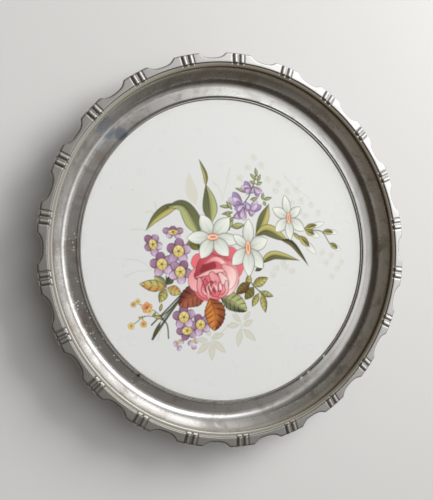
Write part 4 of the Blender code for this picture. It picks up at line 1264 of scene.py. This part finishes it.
def cork():
    n = Nodes("cork")
    grain = n.cells(420.0)
    colour = n.mix(n.ramp(grain, 0.1, 0.6), (0.21, 0.12, 0.06), (0.42, 0.27, 0.15))
    return n.set(colour=colour, roughness=0.85, normal=n.bump(grain, 0.0001, 0.4))


def brass():
    n = Nodes("brass")
    cloud = n.noise(200.0, 4.0, 0.6)
    colour = n.mix(n.ramp(cloud, 0.35, 0.7), (0.56, 0.41, 0.19), (0.36, 0.24, 0.11))
    return n.set(colour=colour, metallic=1.0, roughness=n.ramp(cloud, 0.3, 0.7, 0.28, 0.45), normal=n.bump(n.noise(900.0), 0.00002, 0.3))


LEG_STEEL = plated_steel("leg_steel", (0.56, 0.555, 0.54), 0.26)
ZINC = plated_steel("zinc_steel", (0.55, 0.56, 0.575), 0.36, 0.35)
PRESSED = plated_steel("pressed_steel", (0.50, 0.495, 0.485), 0.34)
SPRING = plated_steel("spring_steel", (0.36, 0.37, 0.39), 0.28)
RUBBER, HARDBOARD, CORK, BRASS = rubber(), hardboard(), cork(), brass()

# ---------------------------------------------------------------- board, bumpers and screws
board_low, board_high = (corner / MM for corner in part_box("backing_board"))
board_r = board_high.x
turned_piece(
    "hardboard_base",
    fillet(
        [(0, board_high.z), (board_r, board_high.z), (board_r, board_low.z), (0, board_low.z)],
        0.7,
        False,
    ),
    (0, 0, 0),
    "tray",
    "backing_board",
    HARDBOARD,
    192,
    False,
)
dress(frame["nodes"]["cushion_ring"], CORK)


def screw_arrays(head_low, head_high, head_r, shank, tip):
    """Pan-head screw pointing up, with a cross recess in its head."""
    steps = 72
    radii = np.concatenate([np.linspace(0.0, head_r * 0.62, 14), head_r * np.array([0.72, 0.82, 0.90, 0.96, 0.99, 1.0])])
    angles = np.linspace(0, 2 * math.pi, steps, endpoint=False)
    tall = head_high - head_low
    rows = []
    for r in radii:
        z = head_low + tall * 0.55 * (1 - math.sqrt(max(0.0, 1 - (0.985 * r / head_r) ** 2)))
        x, y = r * np.cos(angles), r * np.sin(angles)
        arm = np.minimum(np.abs(x), np.abs(y))
        slot = (1 - smoothstep(head_r * 0.10, head_r * 0.17, arm)) * (1 - smoothstep(head_r * 0.42, head_r * 0.56, np.hypot(x, y)))
        rows.append(np.stack([x, y, z + slot * tall * 0.34], axis=-1))
    for r, z in (
        (head_r, head_high - 0.1),
        (head_r - 0.12, head_high),
        (shank + 0.15, head_high),
        (shank, head_high + 0.15),
        (shank, tip - 1.8),
        (0.25, tip),
    ):
        rows.append(np.stack([r * np.cos(angles), r * np.sin(angles), np.full(steps, z)], axis=-1))
    verts = np.concatenate(rows)
    count = len(rows)
    faces = [tuple(map(int, f)) for f in grid_faces(count, steps, False, True)]
    # the innermost ring has no size: it becomes a fan round one point
    faces = [f for f in faces if min(f) >= steps]
    verts = np.concatenate([verts, [verts[0]], [[0, 0, tip]]])
    centre, end = count * steps, count * steps + 1
    faces += [(centre, steps + j, steps + (j + 1) % steps) for j in range(steps)]
    last = (count - 1) * steps
    faces += [(end, last + (j + 1) % steps, last + j) for j in range(steps)]
    used = np.arange(len(verts)) >= steps
    remap = np.cumsum(used) - 1
    verts = verts[used]
    faces = [tuple(int(remap[i]) for i in f) for f in faces]
    volume = sum(float(np.dot(verts[f[0]], np.cross(verts[f[1]], verts[f[2]]))) for f in faces)
    volume += sum(float(np.dot(verts[f[0]], np.cross(verts[f[2]], verts[f[3]]))) for f in faces if len(f) == 4)
    if volume < 0:
        faces = [f[::-1] for f in faces]
    return verts, faces


def screw_piece(name, node, x, y, head_low, head_high, head_r, quarter):
    verts, faces = screw_arrays(head_low, head_high, head_r, 1.35, board_high.z - 0.9)
    a = math.radians(quarter)
    turned = np.stack(
        [verts[:, 0] * math.cos(a) - verts[:, 1] * math.sin(a), verts[:, 0] * math.sin(a) + verts[:, 1] * math.cos(a), verts[:, 2]],
        axis=-1,
    )
    piece = mesh_object(name, turned + np.array([x, y, 0.0]), faces, "tray", 35)
    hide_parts(node)
    dress(piece, ZINC)


for number, (place, x, y) in enumerate(
    (("right", 162.0, 0.0), ("back", 0.0, 145.0), ("left", -162.0, 0.0), ("front", 0.0, -145.0))
):
    section = fillet(
        [(1.85, 11.95), (6.95, 11.95), (6.95, 9.4), (6.55, 8.9), (6.95, 8.4), (6.95, 3.0), (6.4, 0.8), (5.6, 0.05), (3.75, 0.05), (3.75, 7.0), (1.85, 7.0)],
        0.45,
    )
    turned_piece(f"foot_bumper_{place}", section, (x, y, 0), "tray", f"bumper_{place}", RUBBER, 56)
    screw_piece(f"foot_screw_{place}", f"bumper_screw_{place}", x, y, 5.0, 6.7, 2.95, 20 + 31 * number)

for number in range(1, 7):
    for kind, finish in (("rim_stud", ZINC), ("rim_nut", BRASS)):
        node = frame["nodes"][f"{kind}_{number}"]
        dress(node, finish)


# ---------------------------------------------------------------- legs
def leg_path(side):
    half = {"left": 90.0, "right": 112.0}[side]
    bend = {"left": 32.0, "right": 48.0}[side]
    run = 260.0
    line = [(x, half) for x in (2.0, 4.0, 6.0, 7.0, 8.0, 9.0, 10.0, 11.0, 12.0, 13.0, 14.0, 16.0, 24.0, 60.0, 110.0, 150.0, 190.0)]
    line += [(run - bend - 6.0, half)]
    for k in range(17):
        a = math.radians(90 - k * 90 / 16)
        line.append((run - bend + bend * math.cos(a), half - bend + bend * math.sin(a)))
    line += [(run, half - bend - 6.0), (run, (half - bend) * 0.5), (run, 0.0)]
    return np.array(line + [(x, -y) for x, y in line[:-1][::-1]])


for side, to in (("left", 1.0), ("right", -1.0)):
    half = {"left": 90.0, "right": 112.0}[side]
    axis_x = -to * 112.0
    path = leg_path(side)
    # distance along the straight from the eye, the same from both ends
    from_eye = np.where(np.abs(path[:, 1]) > half - 0.01, path[:, 0], 100.0)
    grow = smoothstep(7.0, 15.0, from_eye)
    bar = swept_arrays(
        np.stack([path[:, 0] * to, path[:, 1]], axis=-1),
        1.46 + (3.98 - 1.46) * grow,
        3.3 + (3.98 - 3.3) * grow,
        5.0 - 3.0 * grow,
    )
    for end in (1.0, -1.0):
        bar = combine(bar, rod_y(3.95, -1.46, 1.46, (0.0, end * half, 0.0)), "UNION")
    for end in (1.0, -1.0):
        bar = combine(bar, rod_y(1.9, -4.0, 4.0, (0.0, end * half, 0.0)), "DIFFERENCE")
    verts, faces = bar
    leg = mesh_object(f"{side}_leg_rod", verts + np.array([axis_x, 0.0, 6.0]), faces, f"{side}_leg", 40)
    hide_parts(f"{side}_leg_bar")
    dress(leg, LEG_STEEL)
    for end, where in ((1.0, "back"), (-1.0, "front")):
        section = [(4.3, 14.95), (4.75, 14.95)]
        z = 14.2
        while z > -14.3:
            section += [(5.17, z), (5.17, z - 1.9), (4.98, z - 2.15), (4.98, z - 2.65)]
            z -= 2.9
        section += [(4.75, -14.95), (4.3, -14.95)]
        turned_piece(
            f"{side}_foot_grip_{where}",
            fillet(section, 0.22),
            (axis_x + to * 260.0, end * 40.0, 6.0),
            f"{side}_leg",
            f"{side}_foot_sleeve_{where}",
            RUBBER,
            40,
            True,
            True,
        )
        pin = [(0, 4.45), (1.9, 4.4), (2.7, 4.0), (2.88, 3.55), (1.6, 3.5), (1.6, -3.5), (2.88, -3.55), (2.7, -4.0), (1.9, -4.4), (0, -4.45)]
        turned_piece(
            f"{side}_hinge_rivet_{where}",
            pin,
            (axis_x, end * half, 6.0),
            "tray",
            f"{side}_pivot_pin_{where}",
            BRASS,
            40,
            False,
            True,
        )
        dress(frame["nodes"][f"{side}_hinge_bracket_{where}"], PRESSED)
        for number, shift in ((1, -5.6), (2, 5.6)):
            screw_piece(
                f"{side}_bracket_fixing_{where}_{number}",
                f"{side}_bracket_screw_{where}_{number}",
                axis_x + shift,
                end * half - end * 9.6,
                8.6,
                10.3,
                2.58,
                15 * number + (40 if where == "back" else 0),
            )
    dress(frame["nodes"][f"{side}_leg_clip"], SPRING)
    screw_piece(f"{side}_clip_fixing", f"{side}_clip_screw", axis_x + to * 245.5, 0.0, 9.0, 10.7, 2.58, 28)


# ---------------------------------------------------------------- floor and light
def stage():
    mesh = bpy.data.meshes.new("floor")
    turns = [2 * math.pi * k / 128 for k in range(128)]
    mesh.from_pydata([(14.0 * math.cos(a), 14.0 * math.sin(a), 0.0) for a in turns], [], [tuple(range(128))])
    floor = bpy.data.objects.new("floor", mesh)
    scene.collection.objects.link(floor)
    n = Nodes("floor")
    tone = n.noise(3.0, 2.0)
    colour = n.mix(tone, (0.66, 0.655, 0.645), (0.70, 0.695, 0.685))
    dress(floor, n.set(colour=colour, roughness=0.85, specular=0.2))
    # an unfolded leg reaches below the tray, so the floor lies under the lowest foot bar
    for side, to in (("left", 1.0), ("right", -1.0)):
        leg = bpy.data.objects[f"{side}_leg_rod"]
        mark = bpy.data.objects.new(f"{side}_foot_level", None)
        scene.collection.objects.link(mark)
        mark.empty_display_size = 0.01
        mark.parent = leg.parent
        mark.matrix_parent_inverse = leg.parent.matrix_world.inverted()
        mark.location = (to * 0.148, 0.0, 0.006)
        under = floor.constraints.new("FLOOR")
        under.target = mark
        under.floor_location = "FLOOR_NEGATIVE_Z"
        under.offset = -0.0053

    def softbox(name, place, target, size, power, colour=(1.0, 1.0, 1.0), height=None):
        data = bpy.data.lights.new(name, "AREA")
        data.energy = power
        data.color = colour
        data.size = size
        if height is not None:
            data.shape = "RECTANGLE"
            data.size_y = height
        light = bpy.data.objects.new(name, data)
        scene.collection.objects.link(light)
        light.location = place
        light.rotation_mode = "QUATERNION"
        light.rotation_quaternion = (Vector(target) - Vector(place)).to_track_quat("-Z", "Y")
        return light

    key = softbox("key", (1.0, 0.72, 0.95), (0.0, 0.0, 0.02), 0.8, 17.5, (1.0, 0.985, 0.96))
    top = softbox("top", (0.05, 0.25, 1.7), (0.0, 0.0, 0.0), 1.2, 5.5, (0.95, 0.975, 1.0))
    # the metal is lit by the studio's own gradient, without hard reflections of the lamps
    key.visible_glossy = False
    top.visible_glossy = False

    world = bpy.data.worlds.new("studio")
    scene.world = world
    world.use_nodes = True
    tree = world.node_tree
    background = tree.nodes["Background"]
    coords = tree.nodes.new("ShaderNodeTexCoord")
    dot = tree.nodes.new("ShaderNodeVectorMath")
    dot.operation = "DOT_PRODUCT"
    dot.inputs[1].default_value = (0.683, 0.382, 0.623)
    tree.links.new(coords.outputs["Generated"], dot.inputs[0])
    ramp = tree.nodes.new("ShaderNodeValToRGB")
    tree.links.new(dot.outputs["Value"], ramp.inputs["Fac"])
    stops = (
        (0.0, (0.085, 0.07, 0.055)),
        (0.40, (0.15, 0.14, 0.13)),
        (0.62, (0.31, 0.30, 0.29)),
        (0.80, (0.50, 0.50, 0.50)),
        (0.91, (1.05, 1.05, 1.05)),
        (1.0, (2.6, 2.6, 2.62)),
    )
    for place, tone in stops[1:-1]:
        ramp.color_ramp.elements.new(place)
    for element, (place, tone) in zip(ramp.color_ramp.elements, stops):
        element.position = place
        element.color = tone + (1.0,)
    tree.links.new(ramp.outputs["Color"], background.inputs["Color"])
    background.inputs["Strength"].default_value = 1.0
    plain = tree.nodes.new("ShaderNodeBackground")
    plain.inputs["Color"].default_value = (0.72, 0.72, 0.71, 1)
    path = tree.nodes.new("ShaderNodeLightPath")
    mix = tree.nodes.new("ShaderNodeMixShader")
    tree.links.new(path.outputs["Is Camera Ray"], mix.inputs[0])
    tree.links.new(background.outputs[0], mix.inputs[1])
    tree.links.new(plain.outputs[0], mix.inputs[2])
    tree.links.new(mix.outputs[0], tree.nodes["World Output"].inputs["Surface"])


stage()
